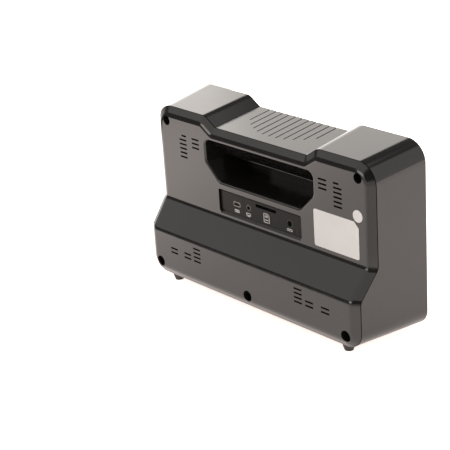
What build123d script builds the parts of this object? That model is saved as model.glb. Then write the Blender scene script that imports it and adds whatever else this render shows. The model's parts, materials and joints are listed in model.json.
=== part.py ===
from build123d import *
import math
import os

os.makedirs("parts", exist_ok=True)

# Desktop movie film scanner, in millimetres. X is the width, +Y the back and Z up from the floor.
# A depth is a distance behind the casing's front edge; what stands in front of it has a negative depth.

# Casing outline at its front edge
front_width = 271.4
block_top = 166.8
front_low = 5.8
shoulder_drop = 8.2
shoulder_crest = 66.1
shoulder_run = 12.5
upper_corner = 18.0
lower_corner = 15.0
crest_round = 13.0
foot_round = 3.0
least_round = 0.4

# Taper of the casing from front to back, in degrees
side_taper = 5.55
top_taper = 6.38
bottom_taper = 2.0
shoulder_splay = 1.8

# Stepped back of the casing
upper_face = 56.3
lower_step = 19.3
slope_top = 74.0
slope_foot = 50.4
kink_round = 8.0
kink_chords = 4
bevel_width = 6.5
bevel_depth = 4.9
bevel_round = 8.0
join_tolerance = 0.001
wall = 2.5
front_lip = 1.8
front_lip_depth = 1.2
seam_gap = 0.8
tongue_gap = 0.15
tongue_wall = 1.5
tongue_reach = 3.0

# Grooves in the top of the casing
groove_count = 11
groove_pitch = 8.0
groove_width = 1.2
groove_depth = 1.4
groove_arc = 56.5
groove_arc_depth = -14.8

# Handle pocket in the rear cover
pocket_width = 130.4
pocket_top = 141.3
pocket_shoulder = 121.5
pocket_floor = 105.8
pocket_floor_width = 98.6
pocket_corner = 6.0
pocket_depth = 38.0
pocket_brow = 3.0
pocket_ledge_depth = 22.0
pocket_ledge = 0.25
pocket_ceiling = 122.2
pocket_wall = 2.0
pocket_lip = 2.0

# Port recess in the rear cover
recess_x = 0.4
recess_width = 101.2
recess_foot = 79.2
recess_height = 20.6
recess_depth = 2.0
recess_corner = 1.5
recess_floor = 2.5
recess_line = 0.6
recess_top_line = 1.9
recess_line_depth = 1.2
ledge_drop = 1.8
rib_pitch = 2.4
rib_width = 1.0
rib_height = 0.4

# Ports, by their place on the recess and the size of each mouth
usb_x = 30.4
usb_z = 89.2
usb_width = 8.2
usb_height = 3.9
av_x = 15.8
av_z = 89.5
av_nose = 2.9
av_bore = 1.8
card_x = -6.0
card_z = 94.5
card_width = 24.8
card_height = 2.7
dc_x = -34.3
dc_z = 88.1
dc_nose = 3.5
dc_bore = 3.0
dc_pin = 0.7
dc_pin_sink = 3.0
port_gap = 0.2
port_inset = 0.1
port_body = 11.0
port_block_width = 8.4
port_block_rise = 3.0
card_body = 26.0
card_skin = 0.5
card_leg = 1.2
socket_skin = 0.4
port_board_z = 84.2
port_board_width = 92.0
port_board_length = 16.0
board = 1.6

# Vent slots, as columns of equal bars: distance from the middle, lowest bar, number of bars
vent_width = 9.2
vent_height = 1.6
vent_pitch = 3.95
vent_middle = 0.7
upper_vents = [(93.7, 118.7, 6), (77.1, 130.3, 3)]
lower_vents = [(63.0, 32.9, 4), (75.8, 32.9, 2), (94.0, 32.9, 2)]

# Cover screws in their wells
screw_x = 115.3
upper_screw_z = 148.3
lower_screw_z = 19.3
upper_well = 4.35
lower_well = 5.0
well_wall = 1.6
well_depth = 14.0
well_floor = 2.0
screw_head = 3.2
screw_head_height = 2.4
screw_shank = 1.5
screw_clearance = 0.3
pilot_gap = 0.05
post_radius = 4.0
post_gap = 0.2
screw_bite = 10.0
drive_span = 1.3
drive_slot = 0.25

# Rubber feet
foot_x = 106.5
rear_foot_depth = 63.0
front_foot_depth = 12.0
foot_radius = 3.8
foot_top_radius = 6.6
foot_recess = 0.8
foot_stem = 2.0
foot_barb = 2.7
foot_barb_height = 2.0
foot_gap = 0.1

# Blank stickers on the rear cover
label_width = 49.8
label_height = 32.3
label_outer_x = 115.0
label_foot = 78.7
label_corner = 2.0
label_cut_corner = 5.0
round_label_x = -114.3
round_label_z = 116.4
round_label_radius = 5.15
label_thickness = 0.15

# Front panel
panel = 2.5
panel_gap = 0.2
panel_seat = 0.1

# Film plane and reels
film_reach = 18.0
reel_radius = 63.5
reel_width = 12.7
reel_bore = 6.35
reel_flange = 1.2
reel_core = 21.75
reel_core_wall = 2.0
reel_boss = 9.5
reel_lip = 2.0
reel_lip_height = 0.4
spoke_count = 6
spoke_width = 13.5
spoke_rib = 1.6
rim_line = 0.8
window_inner = 25.0
window_outer = 50.6
window_corner = 3.0
hub_rib = 1.6
spindle_fit = 0.08
spindle_flange = 11.0
spindle_flange_thickness = 2.0
reel_seat = 0.3
spindle_tip = 4.5
spindle_tip_chamfer = 1.5
fin_width = 1.6
fin_height = 1.2
fin_count = 3
fin_gap = 0.2
running_gap = 0.06

# Take-up drive behind the front panel
take_up_x = 67.0
take_up_z = 72.0
shaft_radius = 3.0
bush_radius = 5.0
bush_flange = 7.0
bush_flange_thickness = 1.0
gear_module = 0.8
gear_teeth = 48
pinion_teeth = 12
gear_gap = 2.7
gear_sink = 0.3
tooth_rise = 0.8
tooth_foot = 0.9
tooth_top = 0.4
gear_hole_circle = 11.5
gear_hole_count = 6
gear_thickness = 4.0
bracket_gap = 1.5
bracket = 1.5
bracket_margin = 14.0
bracket_post = 3.0
motor_radius = 10.0
motor_length = 20.0
motor_shaft = 1.0
motor_hole_radius = 7.0

# Supply arm, folded down across the front
arm_x = -93.0
arm_z = 128.0
arm_length = 66.0
arm_width = 18.0
arm_thickness = 5.0
arm_gap = 0.8
arm_edge_round = 1.0
pivot_radius = 4.0
pivot_head = 7.0
pivot_head_thickness = 1.8
pivot_slot = 8.4
pivot_tail = 2.5
pivot_play = 0.3
pivot_boss = 8.0
supply_axle = 2.5
clip_radius = 4.2
clip_thickness = 0.8
clip_play = 0.1

# Camera hood with the screen
hood_x = -42.0
hood_width = 72.0
hood_foot = 80.0
hood_height = 54.0
hood_reach = 34.0
hood_wall = 2.2
hood_corner = 5.0
hood_boss = 3.2
screen_width = 60.0
screen_height = 46.0
screen_thickness = 1.5
screen_ledge = 3.0
screen_gap = 0.2
lcd_margin = 1.5
lcd_thickness = 3.0
panel_window_width = 46.0
panel_window_height = 34.0

# Camera above the film gate
gate_x = -46.0
lens_radius = 7.5
lens_foot = 81.0
lens_length = 16.0
lens_hole_gap = 1.2
lens_bore = 5.5
lens_glass_thickness = 2.0
lens_glass_lift = 1.5
camera_board_z = 104.0
camera_board_depth = 18.0
camera_board_reach = 25.5
camera_ledge = 5.8
camera_ledge_thickness = 2.5
camera_ledge_overlap = 4.0
sensor_block = 16.0

# Film gate
base_foot = 22.0
base_left = -80.0
base_right = -14.0
base_reach = 32.0
base_wall = 2.2
gate_top = 45.0
film_groove = 0.6
film_width = 8.4
light_window = 9.0
light_window_depth = 6.6
window_fit = 0.1
diffuser_flange = 14.0
diffuser_flange_thickness = 1.2
led_board_z = 33.0
led_board_width = 20.0
led_board_depth = 16.0
led_size = 3.0
led_height = 1.0
led_pitch = 7.0
led_post = 2.0
base_screw_x = -44.0
wire_slot_x = -62.0
wire_slot_z = 34.0
wire_slot_width = 14.0
wire_slot_height = 6.0
magnet_x = -66.0
magnet_reach = 28.0
magnet_radius = 2.0
magnet_height = 2.0
magnet_fit = 0.05
catch_radius = 2.5
catch_thickness = 1.0

# Gate door and its hinge
hinge_reach = 4.4
hinge_z = 48.2
hinge_pin = 1.25
hinge_barrel = 2.8
hinge_lug = 4.0
hinge_lug_radius = 3.0
hinge_gap = 0.3
door_gap = 0.3
door_thickness = 4.5
door_back = 8.0
door_front = 31.0
door_tab = 20.0
door_tab_reach = 2.5
door_tab_thickness = 2.0
door_window = 14.0
door_window_depth = 10.0
door_edge_round = 1.0
pressure_length = 32.0
pressure_width = 7.6
pressure_thickness = 0.6
pressure_window = 9.0
pressure_window_depth = 5.8

# Film drive
sprocket_x = -27.5
sprocket_teeth = 12
film_pitch = 4.234
sprocket_width = 2.0
sprocket_offset = 3.2
sprocket_tooth = 0.9
sprocket_tooth_height = 1.0
sprocket_slot_gap = 0.6
sprocket_hub = 3.5
sprocket_hub_length = 6.0
stepper_radius = 10.0
stepper_length = 15.0
stepper_flange = 2.0
stepper_ear_pitch = 28.0
stepper_ear = 4.0
stepper_shaft = 1.5
shaft_end = 1.0

# Guide rollers
left_roller_x = -93.0
right_roller_x = -5.0
roller_radius = 6.0
roller_flange = 8.0
roller_flange_thickness = 1.2
roller_play = 0.3
roller_post = 2.0
roller_shoulder = 3.5
roller_head = 3.2
roller_head_thickness = 1.2

# Buttons above the take-up reel
button_names = ["power_button", "ok_button", "up_button", "down_button", "left_button", "right_button"]
button_first_x = 99.0
button_pitch = 17.0
button_z = 146.0
button_radius = 5.0
button_stand = 2.2
button_gap = 0.15
button_flange = 1.3
button_flange_thickness = 1.0
button_rest = 0.2
button_stem = 1.8
button_travel = 1.0
button_stem_length = 2.3
switch_size = 6.0
switch_height = 1.2
button_board_height = 16.0
button_post = 2.8
button_post_drop = 5.4
button_board_margin = 9.0

# Main board
main_board_x = -42.0
main_board_z = 118.0
main_board_width = 72.0
main_board_height = 62.0
main_board_lift = 4.2
board_post = 3.0
board_hole_inset = 4.0
chip_size = 14.0
chip_height = 1.4
chip_step = 20.0
capacitor_radius = 2.6
capacitor_height = 4.5
capacitor_pitch = 11.0

# Small screws inside
small_head = 2.6
small_head_height = 1.6
small_shank = 1.25
small_bite = 3.5
small_hole_gap = 0.25

# Derived places
body_depth = upper_face + lower_step
front_y = (hood_reach - body_depth) / 2
seam_upper = upper_face - bevel_depth
seam_lower = seam_upper + lower_step
panel_face = front_lip_depth + panel_seat
panel_back = panel_face + panel
film_bed = gate_top - film_groove
reel_back = -film_reach + reel_width / 2
spindle_radius = reel_bore - spindle_fit
gear_depth = panel_back + gear_gap
bracket_depth = gear_depth + gear_thickness + bracket_gap
gear_pitch_radius = gear_module * gear_teeth / 2
pinion_pitch_radius = gear_module * pinion_teeth / 2
motor_x = take_up_x - gear_pitch_radius - pinion_pitch_radius
arm_back = -arm_gap
arm_front = arm_back - arm_thickness
supply_z = arm_z - arm_length
base_width = base_right - base_left
base_x = (base_left + base_right) / 2
sprocket_radius = sprocket_teeth * film_pitch / (2 * math.pi)
sprocket_z = film_bed - sprocket_radius
roller_z = film_bed - roller_radius
recess_z = recess_foot + recess_height / 2
recess_level = upper_face - recess_depth
centre_top = block_top - shoulder_drop
label_x = -label_outer_x + label_width / 2
label_z = label_foot + label_height / 2
button_xs = [button_first_x - button_pitch * i for i in range(len(button_names))]
switch_depth = panel_back + button_rest + button_flange_thickness + button_stem_length + button_travel
button_board_depth = switch_depth + switch_height
main_board_depth = panel_back + main_board_lift
wide = front_width
high = block_top + wide

upper_screws = [(-screw_x, upper_screw_z), (screw_x, upper_screw_z)]
lower_screws = [(-screw_x, lower_screw_z), (0, lower_screw_z), (screw_x, lower_screw_z)]


def tangent(degrees):
    """Tangent of an angle in degrees."""
    return math.tan(math.radians(degrees))


def at_depth(depth):
    """Upright plane at a depth: its x is X, its y is Z and it faces the front, so +extrude comes forward."""
    return Plane.XZ.offset(-(front_y + depth))


def at_side(x):
    """Upright plane across the width at an x: its x is Y, its y is Z."""
    return Plane.YZ.offset(x)


def y_of(depth):
    """Y of a depth."""
    return front_y + depth


def keep(piece, name):
    """Label a finished piece and write it to its own file."""
    piece.label = name
    export_step(piece, f"parts/{name}.step")


def half_width(depth, inset=0.0):
    """Half of the casing's width at a depth, inside an inset."""
    return front_width / 2 - depth * tangent(side_taper) - inset


def casing_outline(depth, inset=0.0):
    """Cross-section of the casing at a depth, drawn inside its outer surface by an inset."""
    half = half_width(depth, inset)
    top = block_top - depth * tangent(top_taper) - inset
    low = front_low + depth * tangent(bottom_taper) + inset
    shoulder_turn = math.atan2(shoulder_drop, shoulder_run)
    crest = shoulder_crest + depth * tangent(shoulder_splay) + inset * math.tan(shoulder_turn / 2)
    foot = crest - shoulder_run
    shelf = top - shoulder_drop
    with BuildSketch(at_depth(depth)) as outline:
        with BuildLine():
            Polyline((-half, low), (half, low), (half, top), (crest, top), (foot, shelf),
                     (-foot, shelf), (-crest, top), (-half, top), close=True)
        make_face()
        fillet(outline.vertices().group_by(Axis.Y)[0], radius=lower_corner - inset)
        tops = outline.vertices().group_by(Axis.Y)[-1].sort_by(Axis.X)
        fillet([tops[0], tops[3]], radius=upper_corner - inset)
        along_top = [v for v in outline.vertices() if abs(v.Y - top) < least_round]
        crests = [v for v in along_top if abs(v.X) < crest + least_round]
        fillet(crests, radius=max(crest_round - inset, least_round))
        feet = [v for v in outline.vertices() if abs(v.Y - shelf) < least_round and abs(v.X) < crest]
        fillet(feet, radius=foot_round + inset)
    return outline.sketch


def back_steps():
    """Heights down the back, with how far the surface has stepped out there; each kink is short chords."""
    lean = math.atan2(lower_step, slope_top - slope_foot)
    reach = kink_round * math.tan(lean / 2)
    turns = [lean * i / kink_chords for i in range(kink_chords + 1)]
    inner = [(slope_top + reach - kink_round * math.sin(a), kink_round * (1 - math.cos(a))) for a in turns]
    outer = [(slope_foot - reach + kink_round * math.sin(a), lower_step - kink_round * (1 - math.cos(a)))
             for a in reversed(turns)]
    return inner + outer


def level_section(height, step, start, end, start_inset, end_inset, rounding):
    """Horizontal section of a stepped slab at one height, where the seam has stepped out by step."""
    near = half_width(seam_upper + step + start, start_inset)
    far = half_width(seam_upper + step + end, end_inset)
    y_near = y_of(seam_upper + step + start)
    y_far = y_of(seam_upper + step + end)
    with BuildSketch(Plane.XY.offset(height)) as section:
        with BuildLine():
            Polyline((-near, y_near), (near, y_near), (far, y_far), (-far, y_far), close=True)
        make_face()
        if rounding:
            fillet(section.vertices().group_by(Axis.Y)[-1], radius=rounding)
    return section.sketch


def flat_zone(seam, start, end, start_inset, end_inset, rounding, cut, side):
    """Upper or lower zone of a stepped slab, where the back is upright, trimmed at a height."""
    with BuildPart() as zone:
        loft(sections=[casing_outline(seam + start, start_inset), casing_outline(seam + end, end_inset)],
             ruled=True)
        if rounding:
            fillet(zone.faces().sort_by(Axis.Y)[-1].edges(), radius=rounding)
        split(bisect_by=Plane.XY.offset(cut), keep=side)
    return zone.part


def stepped_slab(start, end, start_inset, end_inset, rounding=0.0):
    """Slab that follows the stepped seam, between two distances behind it, with an inset at each."""
    steps = back_steps()
    upper = flat_zone(seam_upper, start, end, start_inset, end_inset, rounding, steps[0][0], Keep.TOP)
    lower = flat_zone(seam_lower, start, end, start_inset, end_inset, rounding, steps[-1][0], Keep.BOTTOM)
    with BuildPart() as slab:
        loft(sections=[level_section(height, step, start, end, start_inset, end_inset, rounding)
                       for height, step in steps], ruled=True)
    return slab.part.fuse(upper, lower, tol=join_tolerance)


def pocket_outline(depth, grow):
    """Mouth of the handle pocket at a depth, grown by a wall."""
    with BuildSketch(at_depth(depth)) as mouth:
        with BuildLine():
            Polyline((-pocket_width / 2, pocket_top), (pocket_width / 2, pocket_top),
                     (pocket_width / 2, pocket_shoulder), (pocket_floor_width / 2, pocket_floor),
                     (-pocket_floor_width / 2, pocket_floor), (-pocket_width / 2, pocket_shoulder),
                     close=True)
        make_face()
        fillet(mouth.vertices(), radius=pocket_corner)
        if grow:
            offset(amount=grow)
    return mouth.sketch


def pocket_solid(front_depth, grow):
    """Space of the handle pocket, grown by a wall; its ceiling slopes down to a low ledge over the well."""
    y_mouth = y_of(front_depth)
    y_brow = y_of(upper_face - pocket_brow) - grow
    y_ledge = y_of(upper_face - pocket_ledge_depth) - grow
    y_well = y_of(upper_face - pocket_depth) - grow
    top = pocket_top + grow
    ceiling = pocket_ceiling + grow
    low = pocket_floor - 2 * pocket_wall
    with BuildPart() as pocket:
        extrude(pocket_outline(front_depth, grow), amount=y_mouth - y_well)
        with BuildSketch(at_side(0)):
            with BuildLine():
                Polyline((y_mouth, low), (y_mouth, top), (y_brow, top), (y_ledge, ceiling + pocket_ledge),
                         (y_ledge, ceiling), (y_well, ceiling), (y_well, low), close=True)
            make_face()
        extrude(amount=pocket_width, both=True, mode=Mode.INTERSECT)
    return pocket.part


def make_housing():
    """Ring-shaped casing, open at the front and back, with the grooves in its top and the feet's holes."""
    with BuildPart() as housing:
        loft(sections=[casing_outline(0), casing_outline(seam_lower)], ruled=True)
        loft(sections=[casing_outline(front_lip_depth, wall), casing_outline(seam_lower + wall, wall)],
             ruled=True, mode=Mode.SUBTRACT)
        loft(sections=[casing_outline(-wall, wall + front_lip), casing_outline(wall, wall + front_lip)],
             ruled=True, mode=Mode.SUBTRACT)
        with BuildSketch(at_side(0)):
            with BuildLine():
                seam = [(y_of(seam_upper + step), height) for height, step in back_steps()]
                Polyline((y_of(-wall), -wall), (y_of(-wall), high), (y_of(seam_upper), high), *seam,
                         (y_of(seam_lower), -wall), close=True)
            make_face()
        extrude(amount=wide, both=True, mode=Mode.INTERSECT)
        top_plane = Plane(origin=(0, y_of(0), centre_top), x_dir=(1, 0, 0),
                          z_dir=(0, math.sin(math.radians(top_taper)), math.cos(math.radians(top_taper))))
        with BuildSketch(top_plane):
            for i in range(groove_count):
                x = groove_pitch * (i - (groove_count - 1) / 2)
                end = groove_arc_depth + math.sqrt(groove_arc ** 2 - x ** 2)
                with Locations((x, -wall)):
                    Rectangle(groove_width, end + wall, align=(Align.CENTER, Align.MIN))
        extrude(amount=-groove_depth, mode=Mode.SUBTRACT)
        for x, depth in foot_places():
            with BuildSketch(Plane.XY):
                with Locations((x, y_of(depth))):
                    Circle(foot_top_radius + foot_gap)
            extrude(amount=foot_seat(depth), mode=Mode.SUBTRACT)
            with BuildSketch(Plane.XY):
                with Locations((x, y_of(depth))):
                    Circle(foot_stem + foot_gap)
            extrude(amount=foot_seat(depth) + 2 * wall, mode=Mode.SUBTRACT)
    return housing.part


def foot_places():
    """Where the feet stand: x and depth."""
    return [(x, depth) for x in (-foot_x, foot_x) for depth in (front_foot_depth, rear_foot_depth)]


def foot_seat(depth):
    """Height of the flat seat that a foot is pushed against."""
    return front_low + depth * tangent(bottom_taper) + foot_recess


def make_feet():
    """Rubber feet: a coned pad below the casing, a stem through its wall and a barb inside."""
    inner = wall - foot_recess + foot_top_radius * tangent(bottom_taper) + foot_gap
    with BuildPart() as feet:
        for x, depth in foot_places():
            seat = foot_seat(depth)
            with BuildSketch(Plane.XZ.offset(-y_of(depth))):
                with BuildLine():
                    Polyline((x, 0), (x + foot_radius, 0), (x + foot_top_radius, seat), (x + foot_stem, seat),
                             (x + foot_stem, seat + inner), (x + foot_barb, seat + inner),
                             (x + foot_stem / 2, seat + inner + foot_barb_height),
                             (x, seat + inner + foot_barb_height), close=True)
                make_face()
            revolve(axis=Axis((x, y_of(depth), 0), (0, 0, 1)))
    return feet.part


def make_rear_cover():
    """Stepped rear cover: bevelled shell, tongue, handle pocket, port recess, vents and screw wells."""
    inner_end = bevel_depth - wall
    cap = stepped_slab(seam_gap, bevel_depth, 0.0, bevel_width, bevel_round)
    hollow = stepped_slab(-wall, inner_end, wall, wall + bevel_width * inner_end / bevel_depth)
    tongue = stepped_slab(-tongue_reach, seam_gap + tongue_wall, wall + tongue_gap, wall + tongue_gap)
    tongue_inside = stepped_slab(-2 * tongue_reach, inner_end, wall + tongue_gap + tongue_wall,
                                 wall + tongue_gap + tongue_wall)
    with BuildPart() as rim:
        add(tongue)
        add(tongue_inside, mode=Mode.SUBTRACT)
    with BuildPart() as cover:
        add(cap)
        add(hollow, mode=Mode.SUBTRACT)
        add(rim.part)
        add(pocket_solid(upper_face - wall / 2, pocket_wall))
        with BuildSketch(at_depth(upper_face - wall / 2)):
            with Locations((recess_x, recess_z)):
                Rectangle(recess_width + 2 * recess_floor, recess_height + recess_floor)
        extrude(amount=recess_depth + recess_floor - wall / 2)
        with BuildSketch(at_depth(recess_level)):
            for x in (-port_board_width / 2, port_board_width / 2 - board_post):
                with Locations((x, port_board_z)):
                    Rectangle(board_post, board_post, align=(Align.MIN, Align.MAX))
        extrude(amount=recess_floor + port_gap + port_board_length)
        add_screw_tubes(upper_face, upper_screws, upper_well)
        add_screw_tubes(upper_face + lower_step, lower_screws, lower_well)
        add(pocket_solid(upper_face, 0.0), mode=Mode.SUBTRACT)
        back_face = cover.faces().filter_by(Plane.XZ).filter_by_position(
            Axis.Y, y_of(upper_face) - label_thickness, y_of(upper_face) + label_thickness)[0]
        mouth = [e for e in back_face.edges() if abs(e.center().X) < pocket_width / 2 + wall]
        rim_edges = [e for e in mouth if pocket_floor - wall < e.center().Z < pocket_top + wall]
        fillet(rim_edges, radius=pocket_lip)
        cut_port_recess()
        cut_port_mouths()
        cut_vents(upper_face, upper_vents)
        cut_vents(upper_face + lower_step, lower_vents)
        cut_screw_wells(upper_face, upper_screws, upper_well)
        cut_screw_wells(upper_face + lower_step, lower_screws, lower_well)
    return cover.part


def cut_port_recess():
    """Recess of the ports: a line round its floor and a sloped, ribbed ledge along its foot."""
    with BuildSketch(at_depth(upper_face)) as drawn:
        with Locations((recess_x, recess_z)):
            RectangleRounded(recess_width, recess_height, recess_corner)
    extrude(drawn.sketch, amount=recess_depth, mode=Mode.SUBTRACT)
    with BuildSketch(at_depth(recess_level)) as drawn:
        with Locations((recess_x, recess_z)):
            RectangleRounded(recess_width, recess_height, recess_corner)
        with Locations((recess_x, recess_z + (recess_line - recess_top_line) / 2)):
            RectangleRounded(recess_width - 2 * recess_line, recess_height - recess_line - recess_top_line,
                             recess_corner - recess_line, mode=Mode.SUBTRACT)
    extrude(drawn.sketch, amount=recess_line_depth, mode=Mode.SUBTRACT)
    length = recess_width - 2 * recess_corner
    with BuildSketch(at_side(recess_x)) as drawn:
        Polygon((y_of(recess_level), recess_foot), (y_of(upper_face), recess_foot),
                (y_of(upper_face), recess_foot - ledge_drop), align=None)
    extrude(drawn.sketch, amount=length / 2, both=True, mode=Mode.SUBTRACT)
    ledge = Plane(origin=(recess_x, y_of(upper_face - recess_depth / 2), recess_foot - ledge_drop / 2),
                  x_dir=(1, 0, 0), z_dir=(0, ledge_drop, recess_depth))
    with BuildSketch(ledge) as drawn:
        with GridLocations(rib_pitch, 0, int(length / rib_pitch), 1):
            Rectangle(rib_width, math.hypot(recess_depth, ledge_drop) - 2 * rib_height)
    extrude(drawn.sketch, amount=rib_height)


def add_screw_tubes(face, places, bore):
    """Tubes inside the rear cover that the screws stand in."""
    with BuildSketch(at_depth(face - wall / 2)) as drawn:
        with Locations(*places):
            Circle(bore + well_wall)
    extrude(drawn.sketch, amount=well_depth + well_floor - wall / 2)


def cut_screw_wells(face, places, bore):
    """Bores of the screw wells, with a clearance hole through each floor."""
    with BuildSketch(at_depth(face)) as drawn:
        with Locations(*places):
            Circle(bore)
    extrude(drawn.sketch, amount=well_depth, mode=Mode.SUBTRACT)
    with BuildSketch(at_depth(face)) as drawn:
        with Locations(*places):
            Circle(screw_shank + screw_clearance)
    extrude(drawn.sketch, amount=well_depth + 2 * well_floor, mode=Mode.SUBTRACT)


def cut_vents(face, columns):
    """Vent bars through the rear cover on both sides; the top bar of the tallest column is a short one."""
    tallest = max(rows for x, low, rows in columns)
    with BuildSketch(at_depth(face)) as drawn:
        for x, low, rows in columns:
            for row in range(rows):
                short = vent_width / 3 if rows == tallest and row == rows - 1 and face == upper_face else 0
                for side in (-1, 1):
                    with Locations((vent_middle + side * (x - short / 2), low + row * vent_pitch)):
                        Rectangle(vent_width - short, vent_height)
    extrude(drawn.sketch, amount=2 * wall, mode=Mode.SUBTRACT)


def cut_port_mouths():
    """Openings in the floor of the port recess, one for each port."""
    with BuildSketch(at_depth(recess_level)) as drawn:
        with Locations((usb_x, usb_z)):
            Rectangle(usb_width + 2 * port_gap, usb_height + 2 * port_gap)
        with Locations((card_x, card_z)):
            Rectangle(card_width, card_height)
        with Locations((av_x, av_z)):
            Circle(av_nose + port_gap)
        with Locations((dc_x, dc_z)):
            Circle(dc_nose + port_gap)
    extrude(drawn.sketch, amount=2 * recess_floor, mode=Mode.SUBTRACT)


def screw(place, head_depth, facing, head, head_height, shank, length):
    """Pan-head screw along Y: facing is 1 when its head looks to the back, -1 when it looks to the front."""
    with BuildSketch(at_depth(head_depth)) as drawn:
        with Locations(place):
            Circle(head)
    extrude(drawn.sketch, amount=-facing * head_height)
    with BuildSketch(at_depth(head_depth)) as drawn:
        with Locations(place):
            Circle(shank)
    extrude(drawn.sketch, amount=facing * length)
    with BuildSketch(at_depth(head_depth + facing * head_height)) as drawn:
        with Locations(place):
            Rectangle(head * drive_span, head * drive_slot)
            Rectangle(head * drive_slot, head * drive_span)
    extrude(drawn.sketch, amount=facing * head_height / 2, mode=Mode.SUBTRACT)


def make_cover_screws():
    """Screws that hold the rear cover to the front panel's posts."""
    with BuildPart() as screws:
        for face, places in ((upper_face, upper_screws), (upper_face + lower_step, lower_screws)):
            for place in places:
                screw(place, face - well_depth, 1, screw_head, screw_head_height, screw_shank,
                      well_floor + post_gap + screw_bite)
    return screws.part


def make_front_panel():
    """Front panel, seated behind the casing's lip, with the posts and holes for all that it carries."""
    with BuildPart() as front:
        edge = wall + panel_gap
        loft(sections=[casing_outline(panel_face, edge), casing_outline(panel_back, edge)], ruled=True)
        add_posts(upper_screws, upper_face - well_depth - well_floor - post_gap)
        add_posts(lower_screws, upper_face + lower_step - well_depth - well_floor - post_gap)
        with BuildSketch(at_depth(panel_back)):
            with Locations(*board_holes()):
                Circle(board_post)
        extrude(amount=-main_board_lift)
        with BuildSketch(at_depth(panel_back)):
            with Locations(*button_board_holes()):
                Circle(button_post)
        extrude(amount=-(button_board_depth - panel_back))
        with BuildSketch(at_depth(panel_back)):
            with Locations(*bracket_holes()):
                Circle(bracket_post)
        extrude(amount=-(bracket_depth - panel_back))
        with BuildSketch(at_depth(panel_face)):
            with Locations((arm_x, arm_z)):
                Circle(pivot_boss)
        extrude(amount=panel_face - arm_back - pivot_play)
        with BuildSketch(at_depth(panel_back)):
            with Locations((hood_x, hood_foot + hood_height / 2)):
                Rectangle(panel_window_width, panel_window_height)
            with Locations((wire_slot_x, wire_slot_z)):
                Rectangle(wire_slot_width, wire_slot_height)
            with Locations((sprocket_x, sprocket_z)):
                Circle(sprocket_hub)
            with Locations((take_up_x, take_up_z)):
                Circle(bush_radius)
            with Locations(*[(x, button_z) for x in button_xs]):
                Circle(button_radius + button_gap)
            with Locations((left_roller_x, roller_z), (right_roller_x, roller_z)):
                Circle(roller_post + pilot_gap)
            with Locations((arm_x, arm_z)):
                Circle(pivot_tail + pilot_gap)
            with Locations(*hood_holes(), *base_holes(), *stepper_holes()):
                Circle(small_shank + pilot_gap)
        extrude(amount=2 * wall + panel, mode=Mode.SUBTRACT)
        cut_pilots(board_holes(), main_board_depth)
        cut_pilots(button_board_holes(), button_board_depth)
        cut_pilots(bracket_holes(), bracket_depth)
    return front.part


def add_posts(places, end):
    """Long posts behind the front panel with pilot holes for the cover screws."""
    with BuildSketch(at_depth(panel_back)) as drawn:
        with Locations(*places):
            Circle(post_radius)
    extrude(drawn.sketch, amount=-(end - panel_back))
    with BuildSketch(at_depth(end)) as drawn:
        with Locations(*places):
            Circle(screw_shank + pilot_gap)
    extrude(drawn.sketch, amount=screw_bite + post_gap, mode=Mode.SUBTRACT)


def cut_pilots(places, end):
    """Pilot holes for small screws in the ends of posts."""
    with BuildSketch(at_depth(end)) as drawn:
        with Locations(*places):
            Circle(small_shank + pilot_gap)
    extrude(drawn.sketch, amount=small_bite, mode=Mode.SUBTRACT)


def board_holes():
    """Corner holes of the main board."""
    half_x = main_board_width / 2 - board_hole_inset
    half_z = main_board_height / 2 - board_hole_inset
    return [(main_board_x + i * half_x, main_board_z + j * half_z) for i in (-1, 1) for j in (-1, 1)]


def button_board_holes():
    """Holes of the button board, between its switches."""
    ends = [button_xs[-1] + button_pitch / 2, button_xs[0] - button_pitch / 2]
    return [(x, button_z - button_post_drop) for x in ends] + [(sum(ends) / 2, button_z + button_post_drop)]


def bracket_holes():
    """Corner holes of the drive bracket."""
    left = motor_x - bracket_margin
    right = take_up_x + bracket_margin
    return [(x, take_up_z + side * (gear_pitch_radius + bracket_post + gear_module))
            for x in (left + board_hole_inset, right - board_hole_inset) for side in (-1, 1)]


def hood_holes():
    """Screw places at the hood's corners."""
    half_x = hood_width / 2 - hood_wall - hood_boss / 2
    half_z = hood_height / 2 - hood_wall - hood_boss / 2
    middle = hood_foot + hood_height / 2
    return [(hood_x + i * half_x, middle + j * half_z) for i in (-1, 1) for j in (-1, 1)]


def base_holes():
    """Screw places at the ends of the gate base."""
    height = base_foot + base_wall + hood_boss / 2
    return [(base_left + base_wall + hood_boss, height), (base_screw_x, height)]


def stepper_holes():
    """Screw places of the stepper motor's ears."""
    return [(sprocket_x, sprocket_z + side * stepper_ear_pitch / 2) for side in (-1, 1)]


def make_panel_screws():
    """Screws from behind the front panel into the hood and the gate base."""
    with BuildPart() as screws:
        for place in hood_holes() + base_holes():
            screw(place, panel_back, 1, small_head, small_head_height, small_shank, panel + small_bite)
    return screws.part


def make_board_screws():
    """Screws that hold the main board, the button board and the drive bracket to their posts."""
    with BuildPart() as screws:
        for place in board_holes():
            screw(place, main_board_depth + board, 1, small_head, small_head_height, small_shank,
                  board + small_bite - pilot_gap)
        for place in button_board_holes():
            screw(place, button_board_depth + board, 1, small_head, small_head_height, small_shank,
                  board + small_bite - pilot_gap)
        for place in bracket_holes():
            screw(place, bracket_depth + bracket, 1, small_head, small_head_height, small_shank,
                  bracket + small_bite - pilot_gap)
    return screws.part


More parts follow.
